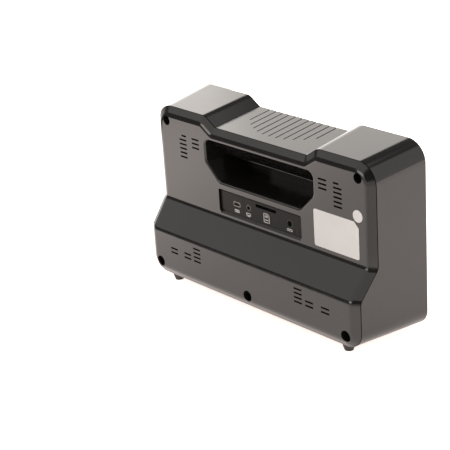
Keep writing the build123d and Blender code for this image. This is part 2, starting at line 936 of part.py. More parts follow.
def make_main_board():
    """Main circuit board with its chips, a row of capacitors and a cable connector."""
    with BuildPart() as main:
        with BuildSketch(at_depth(main_board_depth)):
            with Locations((main_board_x, main_board_z)):
                Rectangle(main_board_width, main_board_height)
            with Locations(*board_holes()):
                Circle(small_shank + small_hole_gap, mode=Mode.SUBTRACT)
        extrude(amount=-board)
        with BuildSketch(at_depth(main_board_depth + board)):
            with Locations(*[(main_board_x + step, main_board_z) for step in (-chip_step, chip_step / 2)]):
                Rectangle(chip_size, chip_size)
            with Locations((main_board_x, main_board_z - chip_step)):
                Rectangle(2 * chip_size, chip_size / 2)
        extrude(amount=-chip_height)
        with BuildSketch(at_depth(main_board_depth + board)):
            with Locations((main_board_x, main_board_z + chip_step)):
                with GridLocations(capacitor_pitch, 0, spoke_count - 1, 1):
                    Circle(capacitor_radius)
        extrude(amount=-capacitor_height)
    return main.part


def make_blank_label():
    """Large blank sticker with one corner cut off beside the round one."""
    with BuildPart() as label:
        with BuildSketch(at_depth(upper_face)) as face:
            with Locations((label_x, label_z)):
                Rectangle(label_width, label_height)
            cut = face.vertices().sort_by(Axis.X).group_by(Axis.X)[0].sort_by(Axis.Y)[-1]
            chamfer([cut], length=label_cut_corner)
            fillet([v for v in face.vertices() if v.X > label_x or v.Y < label_z], radius=label_corner)
        extrude(amount=-label_thickness)
    return label.part


def make_round_label():
    """Small round blank sticker."""
    with BuildPart() as label:
        with BuildSketch(at_depth(upper_face)):
            with Locations((round_label_x, round_label_z)):
                Circle(round_label_radius)
        extrude(amount=-label_thickness)
    return label.part


def make_port_board():
    """Small board that lies on two ribs behind the port recess."""
    with BuildPart() as port:
        with BuildSketch(Plane.XY.offset(port_board_z)):
            with Locations((0, y_of(recess_level - recess_floor - port_gap))):
                Rectangle(port_board_width, port_board_length, align=(Align.CENTER, Align.MAX))
        extrude(amount=board)
    return port.part


def port_block(x, top, width, length):
    """Body of a socket that stands on the port board, up to a height."""
    with BuildSketch(Plane.XY.offset(port_board_z + board)) as drawn:
        with Locations((x, y_of(recess_level - recess_floor - port_gap))):
            Rectangle(width, length, align=(Align.CENTER, Align.MAX))
    extrude(drawn.sketch, amount=top - port_board_z - board)


def make_usb_socket():
    """Small five-pin data socket: a folded metal shell with its tongue."""
    with BuildPart() as socket:
        port_block(usb_x, usb_z, usb_width, port_body)
        with BuildSketch(at_depth(recess_level - port_inset)) as shell:
            with Locations((usb_x, usb_z)):
                Rectangle(usb_width, usb_height)
            fillet(shell.vertices(), radius=usb_height / 5)
        extrude(amount=port_body)
        with BuildSketch(at_depth(recess_level - port_inset)) as mouth:
            with Locations((usb_x, usb_z)):
                Rectangle(usb_width - 2 * socket_skin, usb_height - 2 * socket_skin)
            fillet(mouth.vertices(), radius=usb_height / 8)
        extrude(amount=port_body - 2 * recess_floor, mode=Mode.SUBTRACT)
        with BuildSketch(at_depth(recess_level - port_inset - 2 * socket_skin)):
            with Locations((usb_x, usb_z)):
                Rectangle(usb_width / 2, usb_height / 4)
        extrude(amount=port_body - recess_floor)
    return socket.part


def round_jack(x, z, nose, bore, length):
    """Round jack: a block on the port board and a nose in the recess's hole."""
    port_block(x, z + port_block_rise, port_block_width, port_body)
    with BuildSketch(at_depth(recess_level - port_inset)) as drawn:
        with Locations((x, z)):
            Circle(nose)
    extrude(drawn.sketch, amount=recess_floor + port_gap - port_inset)
    with BuildSketch(at_depth(recess_level)) as drawn:
        with Locations((x, z)):
            Circle(bore)
    extrude(drawn.sketch, amount=length, mode=Mode.SUBTRACT)


def make_av_jack():
    """Picture output jack."""
    with BuildPart() as jack:
        round_jack(av_x, av_z, av_nose, av_bore, port_body)
    return jack.part


def make_dc_jack():
    """Power inlet with its centre pin."""
    with BuildPart() as jack:
        round_jack(dc_x, dc_z, dc_nose, dc_bore, port_body - recess_floor)
        with BuildSketch(at_depth(recess_level - dc_pin_sink)):
            with Locations((dc_x, dc_z)):
                Circle(dc_pin)
        extrude(amount=port_body - recess_floor - dc_pin_sink)
    return jack.part


def make_card_socket():
    """Memory card socket, a flat sleeve on two legs behind the recess's floor."""
    outer = card_width + 2 * card_skin
    front = recess_level - recess_floor - port_gap
    with BuildPart() as socket:
        with BuildSketch(at_depth(front)):
            with Locations((card_x, card_z)):
                Rectangle(outer, card_height + 2 * card_skin)
        extrude(amount=card_body)
        for side in (-1, 1):
            port_block(card_x + side * (outer - card_leg) / 2, card_z, card_leg, port_body)
        with BuildSketch(at_depth(front)):
            with Locations((card_x, card_z)):
                Rectangle(card_width, card_height)
        extrude(amount=card_body - recess_floor, mode=Mode.SUBTRACT)
    return socket.part


def make_hood():
    """Camera hood: a box in front of the panel with the screen's window, the lens hole and board ledges."""
    middle = hood_foot + hood_height / 2
    length = panel_face + hood_reach
    with BuildPart() as hood:
        with BuildSketch(at_depth(panel_face)) as block:
            with Locations((hood_x, middle)):
                Rectangle(hood_width, hood_height)
            fillet(block.vertices(), radius=hood_corner)
        extrude(amount=length)
        fillet(hood.faces().sort_by(Axis.Y)[0].edges(), radius=hood_wall / 2)
        with BuildSketch(at_depth(panel_face)) as inside:
            with Locations((hood_x, middle)):
                Rectangle(hood_width - 2 * hood_wall, hood_height - 2 * hood_wall)
            fillet(inside.vertices(), radius=hood_corner - hood_wall)
        extrude(amount=length - hood_wall, mode=Mode.SUBTRACT)
        with BuildSketch(at_depth(panel_face)):
            with Locations(*hood_holes()):
                Circle(hood_boss)
        extrude(amount=2 * small_bite)
        with BuildSketch(Plane.XY.offset(camera_board_z)):
            for side in (-1, 1):
                with Locations((hood_x + side * (hood_width / 2 - hood_wall / 2), y_of(-camera_board_reach))):
                    Rectangle(2 * camera_ledge + hood_wall, camera_board_depth,
                              align=(Align.CENTER, Align.MIN))
        extrude(amount=-camera_ledge_thickness)
        with BuildSketch(at_depth(panel_face)):
            Rectangle(wide * 2, high * 2)
            with Locations((hood_x, middle)):
                Rectangle(hood_width, hood_height, mode=Mode.SUBTRACT)
        extrude(amount=length, mode=Mode.SUBTRACT)
        with BuildSketch(at_depth(panel_face)):
            with Locations(*hood_holes()):
                Circle(small_shank + pilot_gap)
        extrude(amount=small_bite + pilot_gap, mode=Mode.SUBTRACT)
        with BuildSketch(at_depth(-hood_reach)):
            with Locations((hood_x, middle)):
                RectangleRounded(screen_width, screen_height, screen_ledge)
        extrude(amount=-screen_thickness, mode=Mode.SUBTRACT)
        with BuildSketch(at_depth(-hood_reach)):
            with Locations((hood_x, middle)):
                Rectangle(screen_width - 2 * screen_ledge, screen_height - 2 * screen_ledge)
        extrude(amount=-2 * hood_wall, mode=Mode.SUBTRACT)
        with BuildSketch(Plane.XY.offset(hood_foot)):
            with Locations((gate_x, y_of(-film_reach))):
                Circle(lens_radius + lens_hole_gap)
        extrude(amount=hood_wall, mode=Mode.SUBTRACT)
    return hood.part


def make_screen_window():
    """Clear window over the screen, in the hood's rebate."""
    with BuildPart() as window:
        with BuildSketch(at_depth(-hood_reach + screen_thickness)):
            with Locations((hood_x, hood_foot + hood_height / 2)):
                RectangleRounded(screen_width - 2 * screen_gap, screen_height - 2 * screen_gap, screen_ledge)
        extrude(amount=screen_thickness - pilot_gap)
    return window.part


def make_lcd():
    """Screen module against the inside of the hood's front wall."""
    with BuildPart() as lcd:
        with BuildSketch(at_depth(-hood_reach + hood_wall + lcd_thickness)):
            with Locations((hood_x, hood_foot + hood_height / 2)):
                Rectangle(screen_width - 2 * lcd_margin, screen_height - 2 * lcd_margin)
        extrude(amount=lcd_thickness)
    return lcd.part


def make_camera_board():
    """Camera board on the hood's ledges, with the sensor block below it."""
    span = hood_width - 2 * hood_wall - 2 * (camera_ledge - camera_ledge_overlap)
    with BuildPart() as camera:
        with BuildSketch(Plane.XY.offset(camera_board_z)):
            with Locations((hood_x, y_of(-camera_board_reach))):
                Rectangle(span, camera_board_depth, align=(Align.CENTER, Align.MIN))
        extrude(amount=board)
        with BuildSketch(Plane.XY.offset(camera_board_z)):
            with Locations((gate_x, y_of(-film_reach))):
                Rectangle(sensor_block, camera_board_reach - film_reach + sensor_block / 2)
        extrude(amount=-(camera_board_z - lens_foot - lens_length))
    return camera.part


def make_lens_barrel():
    """Lens barrel under the sensor block, looking down at the film."""
    with BuildPart() as barrel:
        with BuildSketch(Plane.XY.offset(lens_foot)):
            with Locations((gate_x, y_of(-film_reach))):
                Circle(lens_radius)
        extrude(amount=lens_length)
        with BuildSketch(Plane.XY.offset(lens_foot)):
            with Locations((gate_x, y_of(-film_reach))):
                Circle(lens_bore)
        extrude(amount=lens_length, mode=Mode.SUBTRACT)
    return barrel.part


def make_lens_glass():
    """Lens element in the barrel, a thin disc with a crowned face."""
    with BuildPart() as glass:
        with BuildSketch(Plane.XZ.offset(-y_of(-film_reach))):
            with BuildLine():
                low = lens_foot + lens_glass_lift
                ThreePointArc((gate_x - lens_bore, low + lens_glass_thickness / 2), (gate_x, low),
                              (gate_x + lens_bore, low + lens_glass_thickness / 2))
                Polyline((gate_x + lens_bore, low + lens_glass_thickness / 2),
                         (gate_x + lens_bore, low + lens_glass_thickness),
                         (gate_x - lens_bore, low + lens_glass_thickness),
                         (gate_x - lens_bore, low + lens_glass_thickness / 2))
            make_face()
            with Locations((gate_x, low)):
                Rectangle(lens_bore, wide, align=(Align.MIN, Align.CENTER), mode=Mode.INTERSECT)
        revolve(axis=Axis((gate_x, y_of(-film_reach), 0), (0, 0, 1)))
    return glass.part


def make_gate_base():
    """Gate base: a hollow shelf with the film channel on top, its light window and the hinge lugs."""
    length = panel_face + base_reach
    with BuildPart() as base:
        with BuildSketch(at_depth(panel_face)) as block:
            with Locations((base_x, base_foot)):
                Rectangle(base_width, gate_top - base_foot, align=(Align.CENTER, Align.MIN))
            fillet(block.vertices().group_by(Axis.Y)[0], radius=hood_corner)
        extrude(amount=length)
        fillet(base.faces().sort_by(Axis.Y)[0].edges(), radius=base_wall / 2)
        with BuildSketch(at_depth(panel_face)):
            with Locations((base_x, base_foot + base_wall)):
                Rectangle(base_width - 2 * base_wall, film_bed - base_foot - 2 * base_wall,
                          align=(Align.CENTER, Align.MIN))
        extrude(amount=length - base_wall, mode=Mode.SUBTRACT)
        with BuildSketch(at_depth(panel_face)):
            with Locations(*base_holes()):
                Circle(hood_boss)
        extrude(amount=2 * small_bite)
        with BuildSketch(at_depth(panel_face)):
            with Locations(*base_holes()):
                Circle(small_shank + pilot_gap)
        extrude(amount=small_bite + pilot_gap, mode=Mode.SUBTRACT)
        with BuildSketch(Plane.XY.offset(base_foot + base_wall)):
            for side in (-1, 1):
                with Locations((gate_x + side * (led_board_width / 2 - led_post), y_of(-film_reach))):
                    Circle(led_post)
        extrude(amount=led_board_z - base_foot - base_wall)
        with BuildSketch(Plane.XY.offset(gate_top)):
            with Locations((base_x, y_of(-film_reach))):
                Rectangle(base_width, film_width)
        extrude(amount=-film_groove, mode=Mode.SUBTRACT)
        with BuildSketch(Plane.XY.offset(gate_top)):
            with Locations((gate_x, y_of(-film_reach))):
                Rectangle(light_window, light_window_depth)
            with Locations((sprocket_x, y_of(-film_reach + sprocket_offset))):
                Rectangle(2 * (sprocket_radius + sprocket_tooth_height) * math.sin(math.acos(
                    (sprocket_radius - 2 * base_wall) / (sprocket_radius + sprocket_tooth_height))),
                    sprocket_width + 2 * sprocket_slot_gap)
            with Locations((magnet_x, y_of(-magnet_reach))):
                Circle(magnet_radius + magnet_fit)
        extrude(amount=-2 * base_wall, mode=Mode.SUBTRACT)
        add_hinge_lugs()
    return base.part


def add_hinge_lugs():
    """Two lugs at the back of the gate base with a bore for the hinge pin."""
    for x in (base_left, base_right - hinge_lug):
        with BuildSketch(at_side(x)) as drawn:
            with Locations((y_of(-hinge_reach), hinge_z)):
                Circle(hinge_lug_radius)
            with Locations((y_of(-hinge_reach), hinge_z)):
                Rectangle(2 * hinge_lug_radius, hinge_z - gate_top + base_wall / 2,
                          align=(Align.CENTER, Align.MAX))
            with Locations((y_of(-hinge_reach), hinge_z)):
                Circle(hinge_pin, mode=Mode.SUBTRACT)
        extrude(drawn.sketch, amount=hinge_lug)


def make_door_pin():
    """Hinge pin, held in the lugs."""
    with BuildPart() as pin:
        with BuildSketch(at_side(base_left)):
            with Locations((y_of(-hinge_reach), hinge_z)):
                Circle(hinge_pin)
        extrude(amount=base_width)
    return pin.part


def make_gate_door():
    """Gate door: a lid over the film channel with its barrel, window, finger tab and underside pockets."""
    low = gate_top + door_gap
    barrel_left = base_left + hinge_lug + hinge_gap
    barrel_right = base_right - hinge_lug - hinge_gap
    with BuildPart() as door:
        with BuildSketch(Plane.XY.offset(low)):
            with Locations((base_x, y_of(-door_front))):
                Rectangle(base_width, door_front - door_back, align=(Align.CENTER, Align.MIN))
            with Locations((base_x, y_of(-door_front - door_tab_reach))):
                Rectangle(door_tab, door_tab_reach + door_back, align=(Align.CENTER, Align.MIN))
        extrude(amount=door_thickness)
        with BuildSketch(Plane.XY.offset(low + door_thickness)):
            with Locations((base_x, y_of(-door_front))):
                Rectangle(door_tab, door_tab_reach, align=(Align.CENTER, Align.MAX))
        extrude(amount=-(door_thickness - door_tab_thickness), mode=Mode.SUBTRACT)
        fillet(door.faces().sort_by(Axis.Z)[-1].edges(), radius=door_edge_round)
        with BuildSketch(at_side(barrel_left)):
            with Locations((y_of(-hinge_reach), hinge_z)):
                Circle(hinge_barrel)
            with Locations((y_of(-hinge_reach), hinge_z)):
                Rectangle(door_back - hinge_reach + hinge_barrel, hinge_barrel - hinge_gap,
                          align=(Align.MAX, Align.MAX))
        extrude(amount=barrel_right - barrel_left)
        with BuildSketch(at_side(barrel_left)):
            with Locations((y_of(-hinge_reach), hinge_z)):
                Circle(hinge_pin + running_gap)
        extrude(amount=barrel_right - barrel_left, mode=Mode.SUBTRACT)
        with BuildSketch(Plane.XY.offset(low)):
            with Locations((gate_x, y_of(-film_reach))):
                Rectangle(door_window, door_window_depth)
        extrude(amount=door_thickness, mode=Mode.SUBTRACT)
        with BuildSketch(Plane.XY.offset(low)):
            with Locations((sprocket_x, y_of(-film_reach + sprocket_offset))):
                Rectangle(sprocket_radius * 2, sprocket_width + 2 * sprocket_slot_gap)
        extrude(amount=2 * sprocket_tooth_height, mode=Mode.SUBTRACT)
        with BuildSketch(Plane.XY.offset(low)):
            with Locations((magnet_x, y_of(-magnet_reach))):
                Circle(catch_radius)
        extrude(amount=catch_thickness, mode=Mode.SUBTRACT)
    return door.part


def make_pressure_plate():
    """Sprung steel plate under the door that keeps the film flat, with the picture window."""
    with BuildPart() as plate:
        with BuildSketch(Plane.XY.offset(gate_top + door_gap)):
            with Locations((gate_x, y_of(-film_reach))):
                Rectangle(pressure_length, pressure_width)
                Rectangle(pressure_window, pressure_window_depth, mode=Mode.SUBTRACT)
        extrude(amount=-pressure_thickness)
    return plate.part


def make_catch_plate():
    """Steel disc in the door that the magnet holds."""
    with BuildPart() as plate:
        with BuildSketch(Plane.XY.offset(gate_top + door_gap)):
            with Locations((magnet_x, y_of(-magnet_reach))):
                Circle(catch_radius)
        extrude(amount=catch_thickness)
    return plate.part


def make_magnet():
    """Round magnet in the gate base."""
    with BuildPart() as magnet:
        with BuildSketch(Plane.XY.offset(gate_top - pilot_gap)):
            with Locations((magnet_x, y_of(-magnet_reach))):
                Circle(magnet_radius)
        extrude(amount=-magnet_height)
    return magnet.part


def make_diffuser():
    """Milky light window in the film channel, with a flange below the bed."""
    bed_under = film_bed - base_wall
    with BuildPart() as diffuser:
        with BuildSketch(Plane.XY.offset(bed_under)):
            with Locations((gate_x, y_of(-film_reach))):
                Rectangle(diffuser_flange, diffuser_flange)
        extrude(amount=-diffuser_flange_thickness)
        with BuildSketch(Plane.XY.offset(bed_under)):
            with Locations((gate_x, y_of(-film_reach))):
                Rectangle(light_window - 2 * window_fit, light_window_depth - 2 * window_fit)
        extrude(amount=base_wall - pilot_gap)
    return diffuser.part


def make_led_board():
    """Light board below the diffuser, with four lamps."""
    with BuildPart() as light:
        with BuildSketch(Plane.XY.offset(led_board_z)):
            with Locations((gate_x, y_of(-film_reach))):
                Rectangle(led_board_width, led_board_depth)
        extrude(amount=board)
        with BuildSketch(Plane.XY.offset(led_board_z + board)):
            with Locations((gate_x, y_of(-film_reach))):
                with GridLocations(led_pitch, led_pitch, 2, 2):
                    Rectangle(led_size, led_size)
        extrude(amount=led_height)
    return light.part


def make_sprocket():
    """Film sprocket whose teeth reach up through the channel."""
    middle = -film_reach + sprocket_offset
    with BuildPart() as sprocket:
        with BuildSketch(at_depth(middle + sprocket_width / 2)):
            with Locations((sprocket_x, sprocket_z)):
                Circle(sprocket_radius)
                with PolarLocations(sprocket_radius, sprocket_teeth, start_angle=90):
                    Rectangle(2 * sprocket_tooth_height, sprocket_tooth)
        extrude(amount=sprocket_width)
        with BuildSketch(at_depth(middle + sprocket_width / 2)):
            with Locations((sprocket_x, sprocket_z)):
                Circle(sprocket_hub)
        extrude(amount=-sprocket_hub_length)
        with BuildSketch(at_depth(middle - sprocket_width)):
            with Locations((sprocket_x, sprocket_z)):
                Circle(stepper_shaft)
        extrude(amount=-(sprocket_hub_length + 2 * sprocket_width), mode=Mode.SUBTRACT)
    return sprocket.part


def make_sprocket_shaft():
    """Stepper motor's shaft, which the sprocket is pressed on."""
    front = -film_reach + sprocket_offset - sprocket_width / 2 - shaft_end
    back = panel_back + stepper_flange + stepper_length - shaft_end
    with BuildPart() as shaft:
        with BuildSketch(at_depth(back)):
            with Locations((sprocket_x, sprocket_z)):
                Circle(stepper_shaft)
        extrude(amount=back - front)
    return shaft.part


def make_stepper():
    """Stepper motor behind the front panel, with two ears."""
    with BuildPart() as motor:
        with BuildSketch(at_depth(panel_back)):
            with Locations((sprocket_x, sprocket_z)):
                Rectangle(2 * stepper_ear, stepper_ear_pitch)
                Circle(stepper_radius)
            with Locations(*stepper_holes()):
                Circle(stepper_ear)
            with Locations(*stepper_holes()):
                Circle(small_shank + small_hole_gap, mode=Mode.SUBTRACT)
        extrude(amount=-stepper_flange)
        with BuildSketch(at_depth(panel_back + stepper_flange)):
            with Locations((sprocket_x, sprocket_z)):
                Circle(stepper_radius)
        extrude(amount=-stepper_length)
        with BuildSketch(at_depth(panel_back + stepper_flange + stepper_length)):
            with Locations((sprocket_x, sprocket_z)):
                Circle(stepper_shaft + running_gap)
        extrude(amount=stepper_length + 2 * stepper_flange, mode=Mode.SUBTRACT)
    return motor.part


def make_motor_screws():
    """Screws through the stepper motor's ears and the take-up motor's face."""
    with BuildPart() as screws:
        for place in stepper_holes():
            screw(place, panel_back + stepper_flange, 1, small_head, small_head_height, small_shank,
                  stepper_flange + panel)
        for place in take_up_motor_holes():
            screw(place, bracket_depth, -1, small_head, small_head_height / 2, small_shank,
                  bracket + small_bite)
    return screws.part


def take_up_motor_holes():
    """Screw places on the take-up motor's face."""
    return [(motor_x, take_up_z + side * motor_hole_radius) for side in (-1, 1)]


def make_roller(x):
    """Flanged film roller that runs on its post."""
    half = film_width / 2 + roller_flange_thickness
    with BuildPart() as roller:
        with BuildSketch(at_depth(-film_reach + half)):
            with Locations((x, roller_z)):
                Circle(roller_radius)
        extrude(amount=2 * half)
        for depth in (-film_reach + half, -film_reach - half + roller_flange_thickness):
            with BuildSketch(at_depth(depth)):
                with Locations((x, roller_z)):
                    Circle(roller_flange)
            extrude(amount=roller_flange_thickness)
        with BuildSketch(at_depth(-film_reach + half)):
            with Locations((x, roller_z)):
                Circle(roller_post + running_gap)
        extrude(amount=2 * half, mode=Mode.SUBTRACT)
    return roller.part


def make_roller_posts():
    """Shouldered posts with heads that carry the two rollers."""
    half = film_width / 2 + roller_flange_thickness + roller_play
    with BuildPart() as posts:
        for x in (left_roller_x, right_roller_x):
            with BuildSketch(at_depth(panel_face)):
                with Locations((x, roller_z)):
                    Circle(roller_shoulder)
            extrude(amount=panel_face + film_reach - half)
            with BuildSketch(at_depth(panel_back)):
                with Locations((x, roller_z)):
                    Circle(roller_post)
            extrude(amount=panel_back + film_reach + half)
            with BuildSketch(at_depth(-film_reach - half)):
                with Locations((x, roller_z)):
                    Circle(roller_head)
            extrude(amount=roller_head_thickness)
    return posts.part


def spindle_front(x, z, back):
    """Front end of a reel spindle: hub, flange that the reel stands against, and the pin."""
    flange_front = reel_back + reel_seat
    hub = shaft_radius + spindle_flange_thickness
    with BuildSketch(at_depth(back)) as drawn:
        with Locations((x, z)):
            Circle(hub)
    extrude(drawn.sketch, amount=back - flange_front)
    with BuildSketch(at_depth(flange_front + spindle_flange_thickness)) as drawn:
        with Locations((x, z)):
            Circle(spindle_flange)
    extrude(drawn.sketch, amount=spindle_flange_thickness)
    with BuildSketch(at_depth(flange_front)) as drawn:
        with Locations((x, z)):
            Circle(spindle_radius)
    extrude(drawn.sketch, amount=reel_seat + reel_width + spindle_tip)


def make_take_up_spindle():
    """Take-up spindle: a shaft through the bush and the bracket, and a pin with three drive fins."""
    flange_front = reel_back + reel_seat
    back = bracket_depth + bracket + shaft_end
    with BuildPart() as spindle:
        spindle_front(take_up_x, take_up_z, panel_face - bush_flange_thickness - roller_play)
        chamfer(spindle.faces().sort_by(Axis.Y)[0].edges(), length=spindle_tip_chamfer)
        with BuildSketch(at_depth(back)):
            with Locations((take_up_x, take_up_z)):
                Circle(shaft_radius)
        extrude(amount=back - reel_back)
        with BuildSketch(at_depth(flange_front)):
            with Locations((take_up_x, take_up_z)):
                with PolarLocations(spindle_radius, fin_count, start_angle=90):
                    Rectangle(2 * fin_height, fin_width)
        extrude(amount=reel_seat + reel_width)
    return spindle.part


def make_spindle_bush():
    """Flanged bush in the front panel that the take-up shaft runs in."""
    with BuildPart() as bush:
        with BuildSketch(at_depth(panel_back)):
            with Locations((take_up_x, take_up_z)):
                Circle(bush_radius)
        extrude(amount=panel)
        with BuildSketch(at_depth(panel_face)):
            with Locations((take_up_x, take_up_z)):
                Circle(bush_flange)
        extrude(amount=bush_flange_thickness)
        with BuildSketch(at_depth(panel_back)):
            with Locations((take_up_x, take_up_z)):
                Circle(shaft_radius + running_gap)
        extrude(amount=panel + bush_flange_thickness, mode=Mode.SUBTRACT)
    return bush.part


def gear_outline(x, z, teeth, turn):
    """Spur gear's outline about a centre, with its first tooth turned from +X by an angle."""
    pitch_radius = gear_module * teeth / 2
    root = pitch_radius - gear_module
    tip = pitch_radius + gear_module * tooth_rise
    foot = gear_module * tooth_foot
    top = gear_module * tooth_top
    with Locations((x, z)):
        Circle(root)
    with Locations((x, z)):
        with PolarLocations(0, teeth, start_angle=turn):
            Polygon((root - gear_sink, -foot), (tip, -top), (tip, top), (root - gear_sink, foot), align=None)


def make_spindle_gear():
    """Large gear pressed on the take-up shaft."""
    with BuildPart() as gear:
        with BuildSketch(at_depth(gear_depth + gear_thickness)):
            gear_outline(take_up_x, take_up_z, gear_teeth, 0)
            with Locations((take_up_x, take_up_z)):
                Circle(shaft_radius, mode=Mode.SUBTRACT)
                with PolarLocations(gear_hole_circle, gear_hole_count):
                    Circle(shaft_radius, mode=Mode.SUBTRACT)
        extrude(amount=gear_thickness)
    return gear.part


def make_motor_pinion():
    """Pinion with the take-up motor's shaft."""
    end = bracket_depth + bracket + motor_length - shaft_end
    with BuildPart() as pinion:
        with BuildSketch(at_depth(gear_depth + gear_thickness)):
            gear_outline(motor_x, take_up_z, pinion_teeth, 180 / pinion_teeth)
        extrude(amount=gear_thickness)
        with BuildSketch(at_depth(end)):
            with Locations((motor_x, take_up_z)):
                Circle(motor_shaft)
        extrude(amount=end - gear_depth)
    return pinion.part


def make_take_up_motor():
    """Can motor behind the drive bracket."""
    with BuildPart() as motor:
        with BuildSketch(at_depth(bracket_depth + bracket)):
            with Locations((motor_x, take_up_z)):
                Circle(motor_radius)
                Circle(motor_shaft + running_gap, mode=Mode.SUBTRACT)
            with Locations(*take_up_motor_holes()):
                Circle(small_shank + pilot_gap, mode=Mode.SUBTRACT)
        extrude(amount=-motor_length)
        fillet(motor.faces().sort_by(Axis.Y)[-1].outer_wire().edges(), radius=motor_shaft)
    return motor.part


def make_drive_bracket():
    """Steel bracket on four posts that carries the motor and the end of the take-up shaft."""
    left = motor_x - bracket_margin
    right = take_up_x + bracket_margin
    height = 2 * (gear_pitch_radius + bracket_post + gear_module + board_hole_inset)
    with BuildPart() as plate:
        with BuildSketch(at_depth(bracket_depth)):
            with Locations(((left + right) / 2, take_up_z)):
                RectangleRounded(right - left, height, board_hole_inset)
            with Locations((take_up_x, take_up_z)):
                Circle(shaft_radius + running_gap, mode=Mode.SUBTRACT)
            with Locations((motor_x, take_up_z)):
                Circle(bracket_post, mode=Mode.SUBTRACT)
            with Locations(*bracket_holes(), *take_up_motor_holes()):
                Circle(small_shank + small_hole_gap, mode=Mode.SUBTRACT)
        extrude(amount=-bracket)
    return plate.part


def reel_windows():
    """Outline of the spoke windows of a reel flange, drawn flat."""
    with BuildSketch() as windows:
        with Locations((take_up_x, take_up_z)):
            Circle(window_outer)
            Circle(window_inner, mode=Mode.SUBTRACT)
            with PolarLocations(0, spoke_count, start_angle=90):
                Rectangle(reel_radius, spoke_width, align=(Align.MIN, Align.CENTER), mode=Mode.SUBTRACT)
        fillet(windows.vertices(), radius=window_corner)
    return windows.sketch


def make_reel():
    """Empty take-up reel: two spoked flanges with raised rims on a ribbed core, with a slotted bore."""
    film_space = reel_width / 2 - reel_lip_height - reel_flange
    windows = reel_windows()
    with BuildPart() as reel:
        for side in (-1, 1):
            inner = -film_reach - side * film_space
            with BuildSketch(at_depth(inner)):
                with Locations((take_up_x, take_up_z)):
                    Circle(reel_radius)
                add(windows, mode=Mode.SUBTRACT)
            extrude(amount=side * (reel_flange + reel_lip_height))
            with BuildSketch(at_depth(inner - side * (reel_flange + reel_lip_height))):
                with Locations((take_up_x, take_up_z)):
                    Circle(reel_radius - reel_lip)
                    Circle(window_outer + reel_lip, mode=Mode.SUBTRACT)
                    with PolarLocations(0, spoke_count, start_angle=90):
                        Rectangle(reel_radius, rim_line, align=(Align.MIN, Align.CENTER), mode=Mode.SUBTRACT)
                    with PolarLocations((window_inner + window_outer) / 2, spoke_count, start_angle=90):
                        RectangleRounded(window_outer - window_inner, spoke_width - 2 * spoke_rib, spoke_rib)
            extrude(amount=-side * reel_lip_height, mode=Mode.SUBTRACT)
        with BuildSketch(at_depth(reel_back)):
            with Locations((take_up_x, take_up_z)):
                Circle(reel_core)
        extrude(amount=reel_width)
        with BuildSketch(at_depth(reel_back - reel_flange)):
            with Locations((take_up_x, take_up_z)):
                Circle(reel_core - reel_core_wall)
                Circle(reel_boss, mode=Mode.SUBTRACT)
                with PolarLocations(0, spoke_count, start_angle=60):
                    Rectangle(reel_core, hub_rib, align=(Align.MIN, Align.CENTER), mode=Mode.SUBTRACT)
        extrude(amount=reel_width, mode=Mode.SUBTRACT)
        with BuildSketch(at_depth(reel_back)):
            with Locations((take_up_x, take_up_z)):
                Circle(reel_bore)
                with PolarLocations(reel_bore, fin_count, start_angle=90):
                    Rectangle(2 * (fin_height + fin_gap), fin_width + 2 * fin_gap)
        extrude(amount=reel_width, mode=Mode.SUBTRACT)
        with BuildSketch(at_depth(-film_reach + film_space)):
            with Locations((take_up_x + reel_core, take_up_z)):
                Rectangle(2 * reel_core_wall, hub_rib)
        extrude(amount=2 * film_space, mode=Mode.SUBTRACT)
    return reel.part


def make_supply_arm():
    """Folding arm: a round-ended bar with the pivot bore and the spindle's bore and clip pocket."""
    with BuildPart() as arm:
        with BuildSketch(at_depth(arm_back)):
            with Locations((arm_x, arm_z - arm_length / 2)):
                SlotCenterToCenter(arm_length, arm_width, rotation=90)
        extrude(amount=arm_thickness)
        fillet(arm.faces().sort_by(Axis.Y)[0].edges(), radius=arm_edge_round)
        with BuildSketch(at_depth(arm_back)):
            with Locations((arm_x, arm_z)):
                Circle(pivot_radius + running_gap)
            with Locations((arm_x, supply_z)):
                Circle(supply_axle + running_gap)
        extrude(amount=arm_thickness, mode=Mode.SUBTRACT)
        with BuildSketch(at_depth(arm_back)):
            with Locations((arm_x, supply_z)):
                Circle(clip_radius + arm_gap)
        extrude(amount=clip_thickness + arm_gap, mode=Mode.SUBTRACT)
    return arm.part


def make_arm_pivot():
    """Shouldered pivot screw of the arm."""
    with BuildPart() as pivot:
        with BuildSketch(at_depth(arm_back + pivot_play)):
            with Locations((arm_x, arm_z)):
                Circle(pivot_radius)
        extrude(amount=arm_thickness + 2 * pivot_play)
        with BuildSketch(at_depth(arm_front - pivot_play)):
            with Locations((arm_x, arm_z)):
                Circle(pivot_head)
        extrude(amount=pivot_head_thickness)
        fillet(pivot.faces().sort_by(Axis.Y)[0].edges(), radius=pivot_head_thickness / 3)
        with BuildSketch(at_depth(panel_back + wall)):
            with Locations((arm_x, arm_z)):
                Circle(pivot_tail)
        extrude(amount=panel_back + wall - arm_back)
        with BuildSketch(at_depth(arm_front - pivot_play - pivot_head_thickness)):
            with Locations((arm_x, arm_z)):
                Rectangle(pivot_slot, pivot_head_thickness)
        extrude(amount=-pivot_head_thickness / 2, mode=Mode.SUBTRACT)
    return pivot.part


def make_supply_spindle():
    """Free-running supply spindle on the end of the arm."""
    end = arm_back - arm_gap / 2
    with BuildPart() as spindle:
        spindle_front(arm_x, supply_z, arm_front - roller_play)
        chamfer(spindle.faces().sort_by(Axis.Y)[0].edges(), length=spindle_tip_chamfer)
        with BuildSketch(at_depth(end)):
            with Locations((arm_x, supply_z)):
                Circle(supply_axle)
        extrude(amount=end - reel_back)
    return spindle.part


